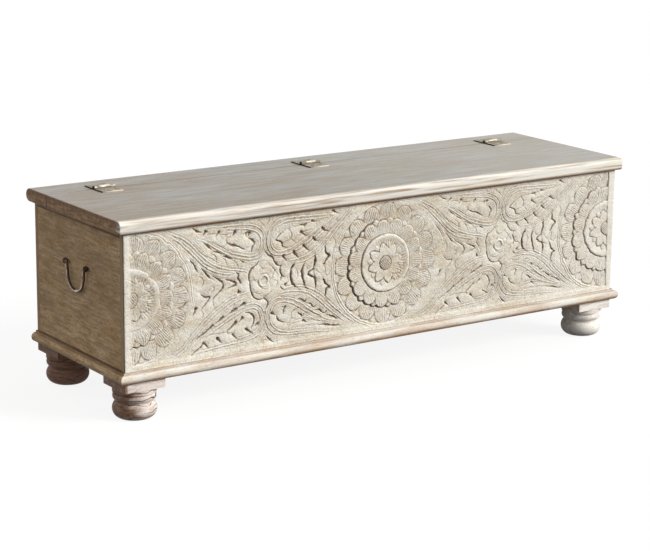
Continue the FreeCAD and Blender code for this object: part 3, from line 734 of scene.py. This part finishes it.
def wire(points, x, d, rise, width):
    """Raises a round wire along a line, with a groove on both sides of it and faint combed lines beyond."""
    near, distance, share, _ = stroke(points, x, d, WIRE_REACH)
    fade = np.clip(np.minimum(share, 1 - share) * 12, 0, 1)
    beside = (distance > COMB_START) * fade_in(distance, 18, 12)
    combed = np.cos((distance - COMB_START) / COMB_PITCH * 2 * np.pi) * beside
    groove = 0.75 * rise * bell(distance - 2.0 * width, 1.1)
    height[near] += fade * (rise * bell(distance, width) - groove - 0.42 * combed)
    dirt = np.clip(np.maximum(0.16 * combed, 0.42 * groove), 0, 1)
    stain_and_shade[near] = np.maximum(stain_and_shade[near], fade * pressure[near] * dirt)


def cut(points, x, d, depth, width, dark, tail=False, lift=0.0):
    """Sinks a V along a line and stains it; with a tail it starts broad, else both of its ends thin out."""
    near, distance, share, side = stroke(points, x, d, CUT_REACH)
    thick = 1.3 - share if tail else 0.45 + 0.55 * np.sin(np.pi * np.clip(share, 0.05, 0.95))
    wide = width * thick * pressure[near]
    leaf = lift * side * np.exp(-distance / 9) - 0.3 * depth * bell(distance, 7)
    height[near] += leaf * fade_in(distance, 21, 15) - depth * thick * bell(distance, wide)
    stain_and_shade[near] = np.maximum(stain_and_shade[near], dark * bell(distance, 1.05 * wide))


print("a stroke through 3 points has", len(curve([(0, 0), (10, 5), (20, 0)])), "points")

# %% [markdown]
# One rosette is rings of petals round a boss. In polar coordinates a ring is simple: across one petal a
# number runs from -1 to 1, and the petal ends on a curve between the notch and the tip, which is a half
# ellipse or more pointed. Each ring rises towards its tips and stops in a step, so the inner rings overlap
# the outer ones as the leaves of an opened flower do.

# %% petal rings
ABSENT = -9.0
ROUND, POINTED, LEAF = (2.0, 0.5), (1.25, 0.8), (1.7, 0.62)
OUTER_TIPS = dict(count=16, first=121, foot=100, notch=126, tip=148, low=2.2, high=5.0)
OUTER_PETALS = dict(count=16, first=132.3, foot=100, notch=113, tip=146, low=2.6, high=6.3, veins=5)
INNER_TIPS = dict(count=15, first=179.4, foot=68, notch=90, tip=110, low=3.2, high=6.6)
INNER_PETALS = dict(count=15, first=191.4, foot=68, notch=84, tip=108, low=4.0, high=7.3, veins=4)
HEART_TIPS = dict(count=8, first=170, foot=14, notch=24, tip=53, low=4.4, high=7.3)
HEART_PETALS = dict(count=8, first=192.5, foot=14, notch=32, tip=51, low=4.6, high=6.8, veins=3)


def petal_ring(r, angle, form, count, first, foot, notch, tip, low, high, veins=0):
    """Height of a ring of petals, ABSENT outside them, how far a place lies outside its petal, and the veins.

    Across a petal a runs from -1 to 1 and its edge lies at notch + (tip - notch) * (1 - |a| ** p) ** q,
    where form gives p and q. The distance square to the edge is about (r - edge) / sqrt(1 + slope ** 2).
    """
    turns = (angle - math.radians(first)) / (2 * np.pi) * count + 0.5
    petal = np.mod(np.floor(turns), count).astype(int)
    uneven = np.random.default_rng(int(tip * 10)).uniform(-1, 1, count)[petal]
    across = np.mod(turns, 1) * 2 - 1
    p, q = form
    inside = np.clip(1 - np.abs(across) ** p, 1e-3, 1)
    reach = tip - notch + 1.8 * uneven
    edge = notch + reach * inside ** q
    slope = reach * q * inside ** (q - 1) * p * np.abs(across) ** (p - 1) * count / (np.pi * r + 1)
    outside = (r - edge) / np.sqrt(1 + np.clip(slope, 0, 5) ** 2)
    rise = fade_in(r, foot, tip)
    well_inside = fade_in(rise, 0, 0.25) * fade_in(outside, 0, -5)
    vein = np.cos(np.pi * veins * (across + 0.2 * uneven)) ** 4 * well_inside
    dome = low + (high - low) * rise ** 0.7 - 1.3 * np.abs(across) ** 3 - bell(np.minimum(outside, 0), 2.4)
    return np.where((outside < 0) & (r > foot - 1), dome, ABSENT), outside, vein * (veins > 0)


print("petals in a rosette", sum(ring["count"] for ring in (OUTER_PETALS, INNER_PETALS, HEART_PETALS)))

# %% [markdown]
# A rosette has a border of turned beads, two rings of petals with pointed tips between them, a hoop, and a
# dish with a small flower round a hatched boss. The steps that face left and down are darkened with painted
# shade, as from a light on the right, and the outlines grow darker on that side too.

# %% rosette
SHADED_SIDE = math.radians(200)
FLOWER, RIM, INNER_RING, HOOP, DISH, BOSS = 158, 147, 118, 70, 62, 16
BEAD_CREST, BEAD_PITCH = 149.5, 5.4


def hatching(dx, dz, spacing):
    """1 between the cuts of a cross hatching and 0 in them."""
    return np.abs(np.cos(np.pi * (dx + dz) / spacing) * np.cos(np.pi * (dx - dz) / spacing))


def rosette(centre_x, centre_d, size, loose, ring, feather, gap_depth, dark, outline, dull, form):
    """Carves a rosette over what is there.

    loose bends its rings, ring raises the hoop round its heart, feather cuts the veins, gap_depth the steps
    between rings, dark paints shade into the steps and darkens the outlines, outline draws round the petals
    and dull greys the whole flower.
    """
    dx = (hand_x + loose * drift(17, 21) - centre_x) / size
    dz = (centre_d - hand_d - loose * drift(17, 22)) / size
    own = np.hypot(dx, dz) < FLOWER
    dx, dz, force = dx[own], dz[own], pressure[own]
    r, angle = np.hypot(dx, dz), np.arctan2(dz, dx)
    # side is 1 on the left and lower left, the side in shade; bare is the painted shade there, and line the
    # outline stain, which grows on that side as painted shade.
    side = np.clip(0.6 + 1.3 * np.cos(angle - SHADED_SIDE), 0, 1)
    bare = dark * (0.12 + 0.88 * side)
    line = dark * (outline + 0.33 * side) * force

    beads = np.cos((r - BEAD_CREST) / BEAD_PITCH * 2 * np.pi)
    border = 5.6 + 0.9 * np.maximum(0.15 + 0.85 * side, 0.8 * (1 - ring)) * beads
    ground = 3.4 + 2.2 * fade_in(r, 132, 146) * (1 - 0.85 * side)
    tips, past_tips, _ = petal_ring(r, angle, POINTED, **OUTER_TIPS)
    outer, past_outer, outer_vein = petal_ring(r, angle, ROUND, **OUTER_PETALS)
    leaves, past_leaves, _ = petal_ring(r, angle, POINTED, **INNER_TIPS)
    inner, past_inner, inner_vein = petal_ring(r, angle, form, **INNER_PETALS)
    hoop = 6.4 + 0.8 * ring - 0.07 * np.abs(r - 65) - 1.2 * ring * bell(r - HOOP, 1.8)
    hoop = np.where(r < HOOP, hoop, ABSENT)
    outer, inner = outer - feather * force * outer_vein, inner - feather * force * inner_vein
    made = np.maximum.reduce([np.where(r > RIM, border, ground), tips, outer, leaves, inner, hoop])

    beyond = np.minimum(past_inner, past_leaves)
    step = bell(beyond - 1.5, (0.8 + 0.62 * gap_depth) * force) * (beyond > -0.7) * (r < INNER_RING)
    groove = ring * bell(r - HOOP - 1, 1.5)
    made = made - gap_depth * bare * step - groove
    pen = 0.7 + outline
    on_rings = r < RIM - 1
    thin = np.maximum.reduce([bell(past_inner - 0.5, pen),
                              0.95 * bell(past_outer - 0.6, pen) * (r > 112) * on_rings,
                              0.6 * bell(past_tips - 0.4, 1.0) * (past_outer > 0) * on_rings])
    veins = np.where(past_inner < 0, inner_vein, outer_vein) * (r > HOOP)
    # Painted shade in the steps, outline stain, veins and the groove round the hoop, darker on the shaded
    # side.
    mark = np.maximum.reduce([bare * step, line * thin, 0.5 * feather * force * veins,
                              (0.15 + 0.8 * side) * dark * groove])

    sepals, _, _ = petal_ring(r, angle, POINTED, **HEART_TIPS)
    petals, past_petals, petal_vein = petal_ring(r, angle, POINTED, **HEART_PETALS)
    bowl = 5.0 + 1.6 * fade_in(r, 52, 62)
    dish = np.maximum.reduce([bowl, sepals, petals - 0.5 * feather * petal_vein])
    rays = np.cos(24 * angle) ** 2 * (1 - side) * fade_in(r, 34, 44) * fade_in(r, 60, 54)
    heart = bell(past_petals - 0.7, 1.2) * fade_in(r, 20, 28)
    made = np.where(r < DISH, dish - 1.2 * heart - (0.3 + 0.8 * feather) * rays, made)
    dish_mark = np.maximum(line * (0.5 + 0.6 * side) * heart, 0.35 * feather * force * rays)
    mark = np.where(r < DISH, dish_mark, mark)
    rough = 1 - hatching(dx, dz, 6.5)
    rim = bell(r - BOSS - 1, 1.6)
    made = np.where(r < BOSS, 7.2 - 1.2 * (r / BOSS) ** 4 - 1.5 * rough ** 3, made - 1.6 * rim)
    mark = np.where(r < BOSS, dark * (0.16 + 0.5 * rough ** 2), np.maximum(mark, 0.5 * dark * rim))
    height[own] = made
    stain_and_shade[own] = np.maximum(mark, dull * (1 + 1.5 * (r < DISH)) * fade_in(r, 150, 138) * force)


print("a rosette is", 2 * FLOWER, "mm across")

# %% [markdown]
# A bay holds four paisleys round a small flower. Raised wires run round each paisley and in pairs between the
# paisleys and the leaves along the level line. Dark cuts part the leaves. Both bays follow one pattern, which
# is written here in the coordinates of the left bay, point by point along each stroke.

# %% bay drawing
WIRES = [
    [(570, 17), (520, 15), (470, 12), (430, 11), (402, 14), (387, 24), (377, 39), (373, 54), (374, 69),
     (379, 82), (390, 91), (406, 95), (425, 95), (445, 91), (468, 81), (490, 69), (513, 55), (535, 43),
     (556, 30), (575, 18)],
    [(545, 21), (500, 21), (460, 19), (425, 19), (405, 24), (392, 33), (385, 45), (383, 56), (384, 67),
     (388, 76), (396, 83), (408, 87), (424, 86), (442, 81), (462, 72), (482, 61), (505, 48), (530, 36)],
    [(425, 112), (460, 110), (485, 103), (505, 93), (526, 77), (545, 60), (567, 41), (590, 21),
     (604, 10)],
    [(445, 120), (475, 117), (506, 106), (522, 96), (540, 79), (551, 66), (572, 46), (600, 21),
     (613, 10)],
    [(412, 178), (425, 175), (450, 174), (477, 179), (502, 190), (525, 206), (550, 230), (575, 252),
     (597, 270), (618, 283)],
    [(405, 187), (418, 184), (442, 184), (470, 189), (495, 200), (520, 220), (545, 242), (570, 262),
     (594, 280)],
    [(577, 275), (560, 271), (535, 262), (510, 247), (485, 231), (465, 216), (442, 204), (420, 198),
     (402, 196), (387, 201), (376, 212), (370, 226), (370, 242), (375, 260), (387, 275), (407, 283),
     (442, 287), (485, 289), (530, 292), (552, 297)],
    [(525, 262), (500, 250), (475, 235), (455, 221), (435, 211), (415, 206), (398, 208), (387, 217),
     (381, 235), (382, 250), (392, 265), (410, 276), (442, 282), (480, 285), (520, 288)],
    [(180, 30), (205, 40), (230, 55), (255, 71), (280, 84), (305, 91), (326, 96), (344, 95), (357, 88),
     (364, 75), (366, 58), (364, 43), (355, 29), (340, 20), (320, 14), (290, 12), (250, 11), (215, 9)],
    [(255, 61), (280, 75), (305, 83), (325, 88), (340, 87), (350, 80), (356, 68), (357, 55), (353, 43),
     (343, 33), (328, 27), (310, 23), (280, 20), (250, 17)],
    [(112, 8), (130, 17), (155, 30), (175, 47), (192, 65), (212, 83), (232, 97), (255, 107), (285, 115),
     (312, 121), (323, 128)],
    [(120, 20), (140, 33), (160, 51), (178, 69), (197, 88), (218, 104), (240, 115), (262, 121),
     (285, 126)],
    [(110, 297), (140, 282), (160, 265), (180, 245), (200, 227), (220, 212), (240, 199), (258, 188),
     (280, 179), (305, 174), (322, 171)],
    [(120, 301), (150, 286), (175, 267), (197, 247), (217, 231), (237, 217), (252, 208), (270, 198),
     (290, 189), (312, 184)],
    [(172, 276), (205, 256), (230, 241), (255, 228), (280, 216), (305, 206), (327, 200), (345, 203),
     (358, 213), (365, 228), (367, 244), (363, 260), (353, 273), (335, 281), (305, 286), (255, 289),
     (200, 293), (170, 297)],
    [(215, 259), (240, 244), (265, 232), (290, 221), (312, 213), (328, 210), (343, 214), (352, 224),
     (356, 238), (354, 252), (345, 264), (328, 272), (300, 277), (262, 280)],
]
FINE_LINES = [
    [(405, 103), (419, 101), (446, 95), (475, 84), (500, 68), (527, 49), (552, 30)],
    [(430, 36), (455, 33), (475, 32), (495, 28), (520, 26), (557, 20)],
    [(457, 60), (466, 53), (480, 47), (505, 44)],
    [(440, 250), (441, 238), (450, 231), (465, 229), (480, 236)],
    [(430, 265), (480, 261), (520, 268), (560, 278)], [(450, 273), (500, 274), (540, 281)],
    [(429, 262), (436, 256), (441, 250)], [(443, 205), (450, 199), (460, 197)],
    [(407, 192), (420, 197), (434, 192)], [(506, 140), (515, 150), (521, 155)],
    [(535, 207), (536, 214), (541, 222)], [(553, 71), (562, 83), (557, 100), (552, 120)],
    [(525, 128), (533, 140), (532, 156)], [(532, 156), (541, 161), (549, 150)],
    [(251, 61), (265, 52), (264, 42), (275, 36)], [(222, 68), (236, 80), (238, 96)],
    [(252, 80), (262, 92), (266, 104)], [(282, 93), (292, 102), (296, 112)],
    [(231, 175), (230, 188), (234, 198)], [(199, 198), (202, 208), (198, 220)],
    [(262, 131), (272, 127), (286, 124)], [(190, 118), (200, 124), (203, 136), (198, 146)],
    [(225, 146), (232, 152), (226, 162)], [(267, 252), (268, 262), (282, 266)],
    [(236, 236), (250, 221), (258, 208)], [(268, 221), (280, 206), (286, 194)],
    [(240, 262), (258, 258), (282, 262)], [(330, 146), (345, 147), (352, 160), (365, 170), (381, 167)],
    [(380, 115), (393, 128), (405, 143)], [(353, 112), (362, 122), (376, 118)], [(380, 9), (371, 22)],
    [(345, 6), (360, 18), (368, 28)], [(360, 298), (368, 290), (378, 296)], [(222, 306), (230, 301)],
    [(262, 309), (266, 301)], [(309, 307), (316, 297)], [(419, 150), (429, 152), (432, 160), (424, 168)],
    [(451, 133), (458, 146), (453, 160)], [(480, 132), (487, 140), (496, 132)],
    [(383, 178), (372, 186), (366, 191)], [(392, 152), (402, 158), (398, 170)],
    [(340, 176), (352, 180), (362, 178)],
    [(410, 46), (420, 40), (432, 38), (440, 50), (436, 62), (424, 66), (414, 69)],
    [(438, 61), (446, 67), (454, 75)], [(213, 25), (225, 25), (237, 27)], [(248, 30), (262, 31), (277, 31)],
    [(296, 34), (306, 35), (316, 38)], [(455, 84), (475, 74), (495, 60), (520, 47)],
    [(470, 96), (490, 84), (510, 70), (530, 57), (550, 42)], [(500, 88), (520, 72), (545, 53), (562, 38)],
    [(445, 257), (470, 255), (495, 259), (520, 268)], [(470, 228), (500, 245), (530, 259)],
    [(480, 239), (505, 252), (528, 264)], [(215, 40), (240, 52), (262, 65), (285, 76)],
    [(188, 60), (213, 76), (243, 93)], [(200, 88), (225, 102), (252, 110)],
    [(228, 254), (258, 239), (295, 223)], [(205, 262), (230, 258), (262, 258)],
    [(400, 126), (392, 134), (384, 147)], [(470, 176), (482, 183), (492, 192)],
]
LONG_CUTS = [
    [(369, 84), (375, 91), (389, 100), (393, 108), (401, 118), (412, 122)],
    [(412, 122), (409, 131), (414, 144), (420, 149)],
    [(410, 46), (400, 56), (397, 60), (410, 65), (414, 69), (417, 77), (427, 81)],
    [(414, 220), (424, 220), (419, 228), (418, 236)], [(400, 240), (404, 249), (411, 254), (421, 257)],
    [(459, 206), (470, 211), (477, 216), (481, 212)], [(484, 220), (495, 224), (502, 232), (508, 229)],
    [(508, 239), (520, 242), (532, 251), (540, 247)], [(540, 255), (557, 262), (570, 270)],
    [(520, 277), (540, 280), (560, 285), (575, 286)], [(456, 240), (467, 246), (471, 250), (476, 246)],
    [(372, 282), (380, 292), (392, 301)], [(324, 46), (332, 51), (339, 60), (334, 68), (331, 79)],
    [(266, 51), (277, 57), (290, 60), (302, 66), (312, 71)], [(206, 46), (216, 53), (225, 60)],
    [(231, 65), (242, 70), (252, 75)], [(257, 80), (269, 85), (280, 90)],
    [(302, 96), (307, 99), (312, 101)], [(177, 7), (186, 14), (198, 18)],
    [(315, 219), (327, 222), (336, 232), (337, 245), (330, 258)], [(288, 241), (275, 250), (267, 255)],
    [(172, 300), (180, 293), (192, 286), (204, 277)],
    [(350, 104), (340, 114), (330, 120), (325, 130), (324, 141), (327, 150)],
    [(327, 150), (327, 160), (330, 172), (336, 184), (346, 192), (359, 194), (366, 192)],
    [(366, 191), (374, 200), (376, 207), (371, 217)], [(414, 145), (411, 156)],
    [(410, 170), (413, 176), (419, 179)],
]
TAILED_CUTS = [
    [(418, 100), (427, 111)], [(445, 93), (459, 109)], [(474, 82), (480, 89), (489, 96)],
    [(499, 66), (506, 73), (516, 78)], [(526, 47), (534, 53), (545, 56)], [(556, 9), (570, 16)],
    [(466, 49), (474, 56), (482, 60)], [(475, 33), (462, 32)], [(496, 27), (505, 29)],
    [(385, 231), (395, 236)], [(474, 260), (484, 267)], [(211, 18), (203, 26)], [(244, 24), (237, 32)],
    [(287, 27), (281, 36)], [(318, 36), (316, 42)], [(326, 35), (323, 42)],
    [(227, 238), (214, 246), (198, 256), (182, 263)], [(255, 222), (246, 228), (235, 233)],
    [(290, 208), (279, 212), (268, 216)], [(311, 198), (302, 202), (295, 204)], [(308, 231), (298, 239)],
    [(290, 240), (280, 246)], [(203, 275), (215, 286)], [(239, 269), (252, 283)], [(281, 266), (293, 279)],
    [(317, 259), (335, 271)], [(184, 192), (181, 200), (175, 207)], [(297, 170), (295, 162)],
    [(424, 168), (427, 164)], [(347, 250), (340, 256)],
]
LEAVES_FACING_LEFT = [
    [(448, 123), (442, 133)], [(441, 137), (438, 148), (441, 159)], [(442, 162), (444, 169), (451, 174)],
    [(474, 129), (469, 140), (471, 150), (473, 161), (478, 175)], [(506, 112), (507, 122), (504, 136)],
    [(503, 140), (488, 149), (492, 155), (500, 159), (506, 161)], [(506, 161), (508, 172), (507, 185)],
    [(535, 94), (536, 105), (545, 114), (538, 122), (531, 133)],
    [(530, 169), (535, 180), (546, 189), (539, 193), (535, 207)],
]
LEAVES_FACING_RIGHT = [
    [(291, 124), (297, 128), (295, 136), (300, 144), (302, 150)],
    [(264, 136), (277, 141), (286, 146), (289, 151), (280, 153), (268, 156)],
    [(227, 122), (242, 132), (254, 141), (256, 150), (251, 158), (241, 165), (230, 175)],
    [(199, 102), (208, 112), (216, 122), (224, 129)],
    [(196, 162), (208, 170), (219, 171), (215, 179), (207, 186), (199, 195)],
    [(170, 81), (180, 92), (187, 107)],
]
drawing = WIRES + FINE_LINES + LONG_CUTS + TAILED_CUTS + LEAVES_FACING_LEFT + LEAVES_FACING_RIGHT
print(len(drawing), "strokes in a bay")

# %% [markdown]
# The small flower is a formula in polar coordinates. Every kind of stroke has its own depth and breadth.
# Wires come first and cuts after them, so that the cuts go through the wires.

# %% one bay
SMALL_FLOWER_X, SMALL_FLOWER_D = 364, 150


def small_flower(x, d):
    """A ring with a hatched hole in the middle of the flower, and a soft swirl of petals round it."""
    dx, dz = x - SMALL_FLOWER_X, SMALL_FLOWER_D - d
    r, angle = np.hypot(dx, dz), np.arctan2(dz, dx)
    swirl = np.mod(5 * angle / (2 * np.pi) + 0.025 * r, 1)
    whorl = fade_in(r, 11, 19) * fade_in(r, 37, 31)
    petals = (1.3 * swirl - 0.9 * bell(swirl - 1, 0.05)) * whorl
    ring = 1.4 * bell(r - 12, 2.2) - 0.9 * bell(r - 16, 1.6)
    hole = np.where(r < 9.5, -1.2 - (1 - hatching(dx, dz, 5)) ** 3, 0)
    own = r < 38
    height[own] += (petals + ring + hole)[own]


def bay(shift, dark, weight):
    """Carves the drawing, moved along the board by shift; dark stains its cuts and weight broadens them."""
    x, d = hand_x - shift, hand_d
    small_flower(x, d)
    for line in WIRES:
        wire(line, x, d, 0.75 + 0.3 * weight, 0.95 + 0.5 * weight)
    for line in FINE_LINES:
        cut(line, x, d, 1.3, 1.2, dark=0.45 * dark)
    for line in LONG_CUTS:
        cut(line, x, d, 3.5, 1.95 * weight, dark=dark)
    for line in TAILED_CUTS:
        cut(line, x, d, 3.8, 2.4 * weight, tail=True, dark=dark)
    for lines, lift in ((LEAVES_FACING_LEFT, -1.5), (LEAVES_FACING_RIGHT, 1.5)):
        for line in lines:
            cut(line, x, d, 3.6, 2.25 * weight, lift=lift, dark=dark)


print("small flower at", SMALL_FLOWER_X, "mm along and", SMALL_FLOWER_D, "mm down")

# %% [markdown]
# The board is put together from back to front: a plain field, the two bays and then the rosettes, whose
# halves run out under the plain strips at both ends. A little tool texture over everything keeps the flats
# from looking moulded.

# %% carve the board
RIGHT_STRIP, BOTTOM_STRIP, STRIP_HEIGHT = 22.0, 10.0, 7.1
RULED_EDGE, RULE_PITCH = 14.0, 3.6
ROSETTES = [
    dict(centre_x=20, centre_d=152, size=1.0, loose=3.4, ring=0.15, feather=0.9, gap_depth=1.3, dark=1.0,
         outline=0.62, dull=0.06, form=LEAF),
    dict(centre_x=707.5, centre_d=152, size=1.0, loose=0.8, ring=1.0, feather=0.75, gap_depth=2.2, dark=0.95,
         outline=0.62, dull=0.0, form=ROUND),
    dict(centre_x=1402.5, centre_d=150.5, size=1.03, loose=2.2, ring=0.8, feather=0.7, gap_depth=1.2,
         dark=0.6, outline=0.65, dull=0.0, form=ROUND),
]
BAYS = [(0, 0.95, 1.0), (687.5, 0.9, 0.56)]


def ramp(values, start, stop):
    """As fade_in, but with a smooth change."""
    t = fade_in(values, start, stop)
    return t * t * (3 - 2 * t)


for place in BAYS:
    bay(*place)
for place in ROSETTES:
    rosette(**place)
rules = 0.5 * np.cos(np.pi * D / RULE_PITCH) ** 2
height -= np.where((D < RULED_EDGE) & (height > 4.5), rules, 0)
gutter_x = BOARD - RIGHT_STRIP + 7 * D / SHOWN + 2.0 * drift(20, 14)
left_strip, right_strip = ramp(X, 24, 9), ramp(X - gutter_x, -1, 1)
bottom_strip = ramp(D, SHOWN - BOTTOM_STRIP - 5, SHOWN - BOTTOM_STRIP + 3)
plain = np.maximum.reduce([left_strip, right_strip, bottom_strip])
height += plain * (STRIP_HEIGHT - height)
stain_and_shade *= 1 - plain
gutter = bell(X - gutter_x, 1.3) * (0.4 + 0.6 * ramp(D, 90, 40))
height -= 1.2 * gutter
# The last term is a dark band along the top edge: painted shadow under the nose of the lid, over stain.
stain_and_shade = np.maximum.reduce([stain_and_shade, 0.35 * gutter * pressure, 0.6 * fade_in(D, 3.4, 1.0)])
height += 0.25 * drift(11, 11) + 0.22 * drift(4.2, 12) + 0.2 * drift(2.1, 13)
height -= 1.2 * bell(np.minimum(X, BOARD - X), 1.6)
height = np.clip(height, 0.1, RELIEF)
print("relief from", round(float(height.min()), 2), "to", round(float(height.max()), 2), "mm")

# %% [markdown]
# The colour follows the relief a little everywhere: lighter on the high parts and darker in the grooves. The
# light mask also rises towards the right end of the board as painted light. Comparing the height with its own
# average over a small square tells a groove from a crest. The average is two running sums, one along each
# axis, so it stays quick on the whole board.

# %% recess and crest
def average(values, radius_mm):
    """Mean over a square of that half width, by differences of running sums along each axis."""
    reach = max(1, round(radius_mm / STEP))
    for axis in (0, 1):
        pad = [(0, 0), (0, 0)]
        pad[axis] = (reach + 1, reach)
        sums = np.cumsum(np.pad(values, pad, mode="edge"), axis)
        ahead = np.take(sums, range(2 * reach + 1, sums.shape[axis]), axis)
        behind = np.take(sums, range(0, sums.shape[axis] - 2 * reach - 1), axis)
        values = (ahead - behind) / (2 * reach + 1)
    return values


near_mean = average(average(height, 2.0), 2.0)
speckle = drift(2.2, 15) * (1 + 0.5 * drift(9, 16))
grooves = 0.2 * np.clip(near_mean - height, 0, 1.5)
flecks = 0.34 * np.clip(speckle, 0, 1) * (1 - right_strip)
recess = np.clip(stain_and_shade + grooves + flecks, 0, 1)
crest_and_light = np.clip((height - near_mean) / 0.6 + 0.45 * np.clip(-speckle, 0, 1), 0, 1)
# Thick lime on the plain strips; the rise towards the right end of the board is painted light.
crest_and_light = np.maximum.reduce([crest_and_light, 0.95 * left_strip, 0.8 * right_strip, 0.8 * ramp(X, 800, 1350)])
print("recess covers", round(float((recess > 0.5).mean()), 3), "of the board")

# %% [markdown]
# The board becomes a mesh in five tiles, so that none holds too many triangles. Each tile is a grid for the
# carved face, a skirt round its rim and a fan over its flat back. Only the carved face is smooth, which keeps
# the rim crisp.

# %% board mesh
TILES = 5
cuts = np.linspace(0, len(across_mm) - 1, TILES + 1).round().astype(int)


def board_tile(name, first, last):
    """A closed tile of the board between two grid columns: carved grid, skirt and back fan."""
    rows = np.append(down_mm, (panel_high.z - panel_low.z) / MM)
    relief = np.hstack([height[first:last + 1], height[first:last + 1, -1:]])
    columns = across_mm[first:last + 1]
    grid_x, grid_d = np.meshgrid(columns, rows, indexing="ij")
    sunk = panel_low.y + (RELIEF - relief) * MM
    face = np.stack([panel_low.x + grid_x * MM, sunk, panel_high.z - grid_d * MM], -1)
    count_x, count_d = grid_x.shape
    index = np.arange(count_x * count_d).reshape(count_x, count_d)
    quads = np.stack([index[:-1, :-1], index[:-1, 1:], index[1:, 1:], index[1:, :-1]], -1).reshape(-1, 4)
    rim = np.concatenate([index[:-1, 0], index[-1, :-1], index[:0:-1, -1], index[0, :0:-1]])
    back = face.reshape(-1, 3)[rim]
    back[:, 1] = panel_high.y
    ring = index.size + np.arange(len(rim))
    centre = index.size + len(rim)
    skirt = np.stack([rim, np.roll(rim, -1), np.roll(ring, -1), ring], -1)
    fan = np.stack([ring, np.roll(ring, -1), np.full(len(ring), centre)], -1)
    points = np.vstack([face.reshape(-1, 3), back, back.mean(0)])
    mesh = bpy.data.meshes.new(name)
    mesh.from_pydata(points, [], quads.tolist() + skirt.tolist() + fan.tolist())
    smooth = np.zeros(len(mesh.polygons), bool)
    smooth[:len(quads)] = True
    mesh.polygons.foreach_set("use_smooth", smooth)
    for label, values in (("recess", recess), ("crest_and_light", crest_and_light)):
        part = values[first:last + 1]
        padded = np.concatenate([np.hstack([part, part[:, -1:]]).ravel(), np.zeros(len(rim) + 1)])
        mesh.attributes.new(label, "FLOAT", "POINT").data.foreach_set("value", padded.astype(np.float32))
    mesh.validate()
    piece = bpy.data.objects.new(name, mesh)
    bpy.context.scene.collection.objects.link(piece)
    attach(piece, "carcass")
    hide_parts("front_panel")
    return piece


print("tiles meet at columns", cuts[1:-1].tolist())

# %% [markdown]
# The carved wood reads the recess, with its stain and painted shade, and crest_and_light, with its painted
# light, from the points of the mesh. The ends of the board are sawn across the grain and took no wash.

# %% carved wood
def stored(tree, label):
    """A mask that reads a value stored on the points of the mesh."""
    return take(put(tree, "ShaderNodeAttribute", {"attribute_name": label}), "Fac")


def end_grain(x, y, z):
    """The two ends of the board, where the timber is bare."""
    return past(abs(x), panel_high.x, -0.6, -0.1)


def carved_recess(x, y, z):
    """The stored recess with its painted shade, and a little dirt on the end grain with a dark line along its
    front corner.
    """
    corner = past(y, panel_low.y, 6, 4) * 0.9
    return most(stored(x.tree, "recess") * 0.92, end_grain(x, y, z) * most(corner, 0.1))


def carved_crest_and_light(x, y, z):
    """The stored crest_and_light with its painted light, but none on the end grain."""
    return stored(x.tree, "crest_and_light") * inverse(end_grain(x, y, z)) * 0.72


carved_wood = limed_wood("carved_limed_wood", "x", srgb(237, 234, 224), srgb(179, 155, 119),
                         warm=srgb(235, 224, 202), stain_and_shade=srgb(102, 69, 31), cover=1.02, along=9.0,
                         across=34.0, rubbed=end_grain, recess=carved_recess, crest_and_light=carved_crest_and_light, bump=0.3)
for number, (first, last) in enumerate(zip(cuts[:-1], cuts[1:]), 1):
    tile = board_tile(f"carved_front_{number}", int(first), int(last))
    tile.data.materials.append(carved_wood)
    print(tile.name, len(tile.data.polygons), "faces")

# %% [markdown]
# The stage is a plain pale floor and soft light. The floor shows white to the camera but sends little light
# back up, and keeps a faint shadow. One broad lamp from the front right and an even sky light the trunk, so
# the left end lies in shade as it does in the picture.

# %% stage and light
FLOOR_SIZE = 60.0
FLOOR_GLOW = 1.03
WHITE_SHARE = 0.86
FLOOR_BOUNCE = 0.06
SKY = 0.5
DAYLIGHT = (1, 0.99, 0.97)
SUN_DIRECTION = Vector((0.62, -0.68, 0.48))
SUN_STRENGTH = 3.0
SUN_WIDTH = math.radians(24)


def seen_directly(tree):
    """1 where the camera, a reflection or a view through glass looks at the surface."""
    path = tree.nodes.new("ShaderNodeLightPath")
    return most(*(take(path, f"Is {ray} Ray") for ray in ("Camera", "Glossy", "Transmission")))


floor_mesh = bpy.data.meshes.new("floor")
half = FLOOR_SIZE / 2
corners = [(-half, -half, 0), (half, -half, 0), (half, half, 0), (-half, half, 0)]
floor_mesh.from_pydata(corners, [], [(0, 1, 2, 3)])
floor = bpy.data.objects.new("floor", floor_mesh)
bpy.context.scene.collection.objects.link(floor)
paper = bpy.data.materials.new("pale_floor")
paper.use_nodes = True
tree = paper.node_tree
direct = seen_directly(tree)
matt = put(tree, "ShaderNodeBsdfDiffuse", Color=direct * (1 - FLOOR_BOUNCE) + FLOOR_BOUNCE)
glow = put(tree, "ShaderNodeEmission", Color=(1, 1, 1, 1), Strength=FLOOR_GLOW)
pale = put(tree, "ShaderNodeMixShader", Fac=direct * WHITE_SHARE)
fill(pale.inputs[1], take(matt))
fill(pale.inputs[2], take(glow))
fill(tree.nodes["Material Output"].inputs["Surface"], take(pale))
floor_mesh.materials.append(paper)

world = bpy.data.worlds.new("studio")
bpy.context.scene.world = world
world.use_nodes = True
tree = world.node_tree
sky = tree.nodes["Background"].inputs
fill(sky["Color"], (*DAYLIGHT, 1))
fill(sky["Strength"], seen_directly(tree) * (1 - SKY) + SKY)
sun_data = bpy.data.lights.new("window", "SUN")
sun_data.energy = SUN_STRENGTH
sun_data.angle = SUN_WIDTH
sun_data.color = DAYLIGHT
sun = bpy.data.objects.new("window", sun_data)
sun.rotation_mode = "QUATERNION"
sun.rotation_quaternion = SUN_DIRECTION.to_track_quat("Z", "Y")
bpy.context.scene.collection.objects.link(sun)
bpy.context.scene.view_settings.view_transform = "Standard"
print("sun at", round(math.degrees(math.asin(SUN_DIRECTION.normalized().z))), "degrees above the floor")
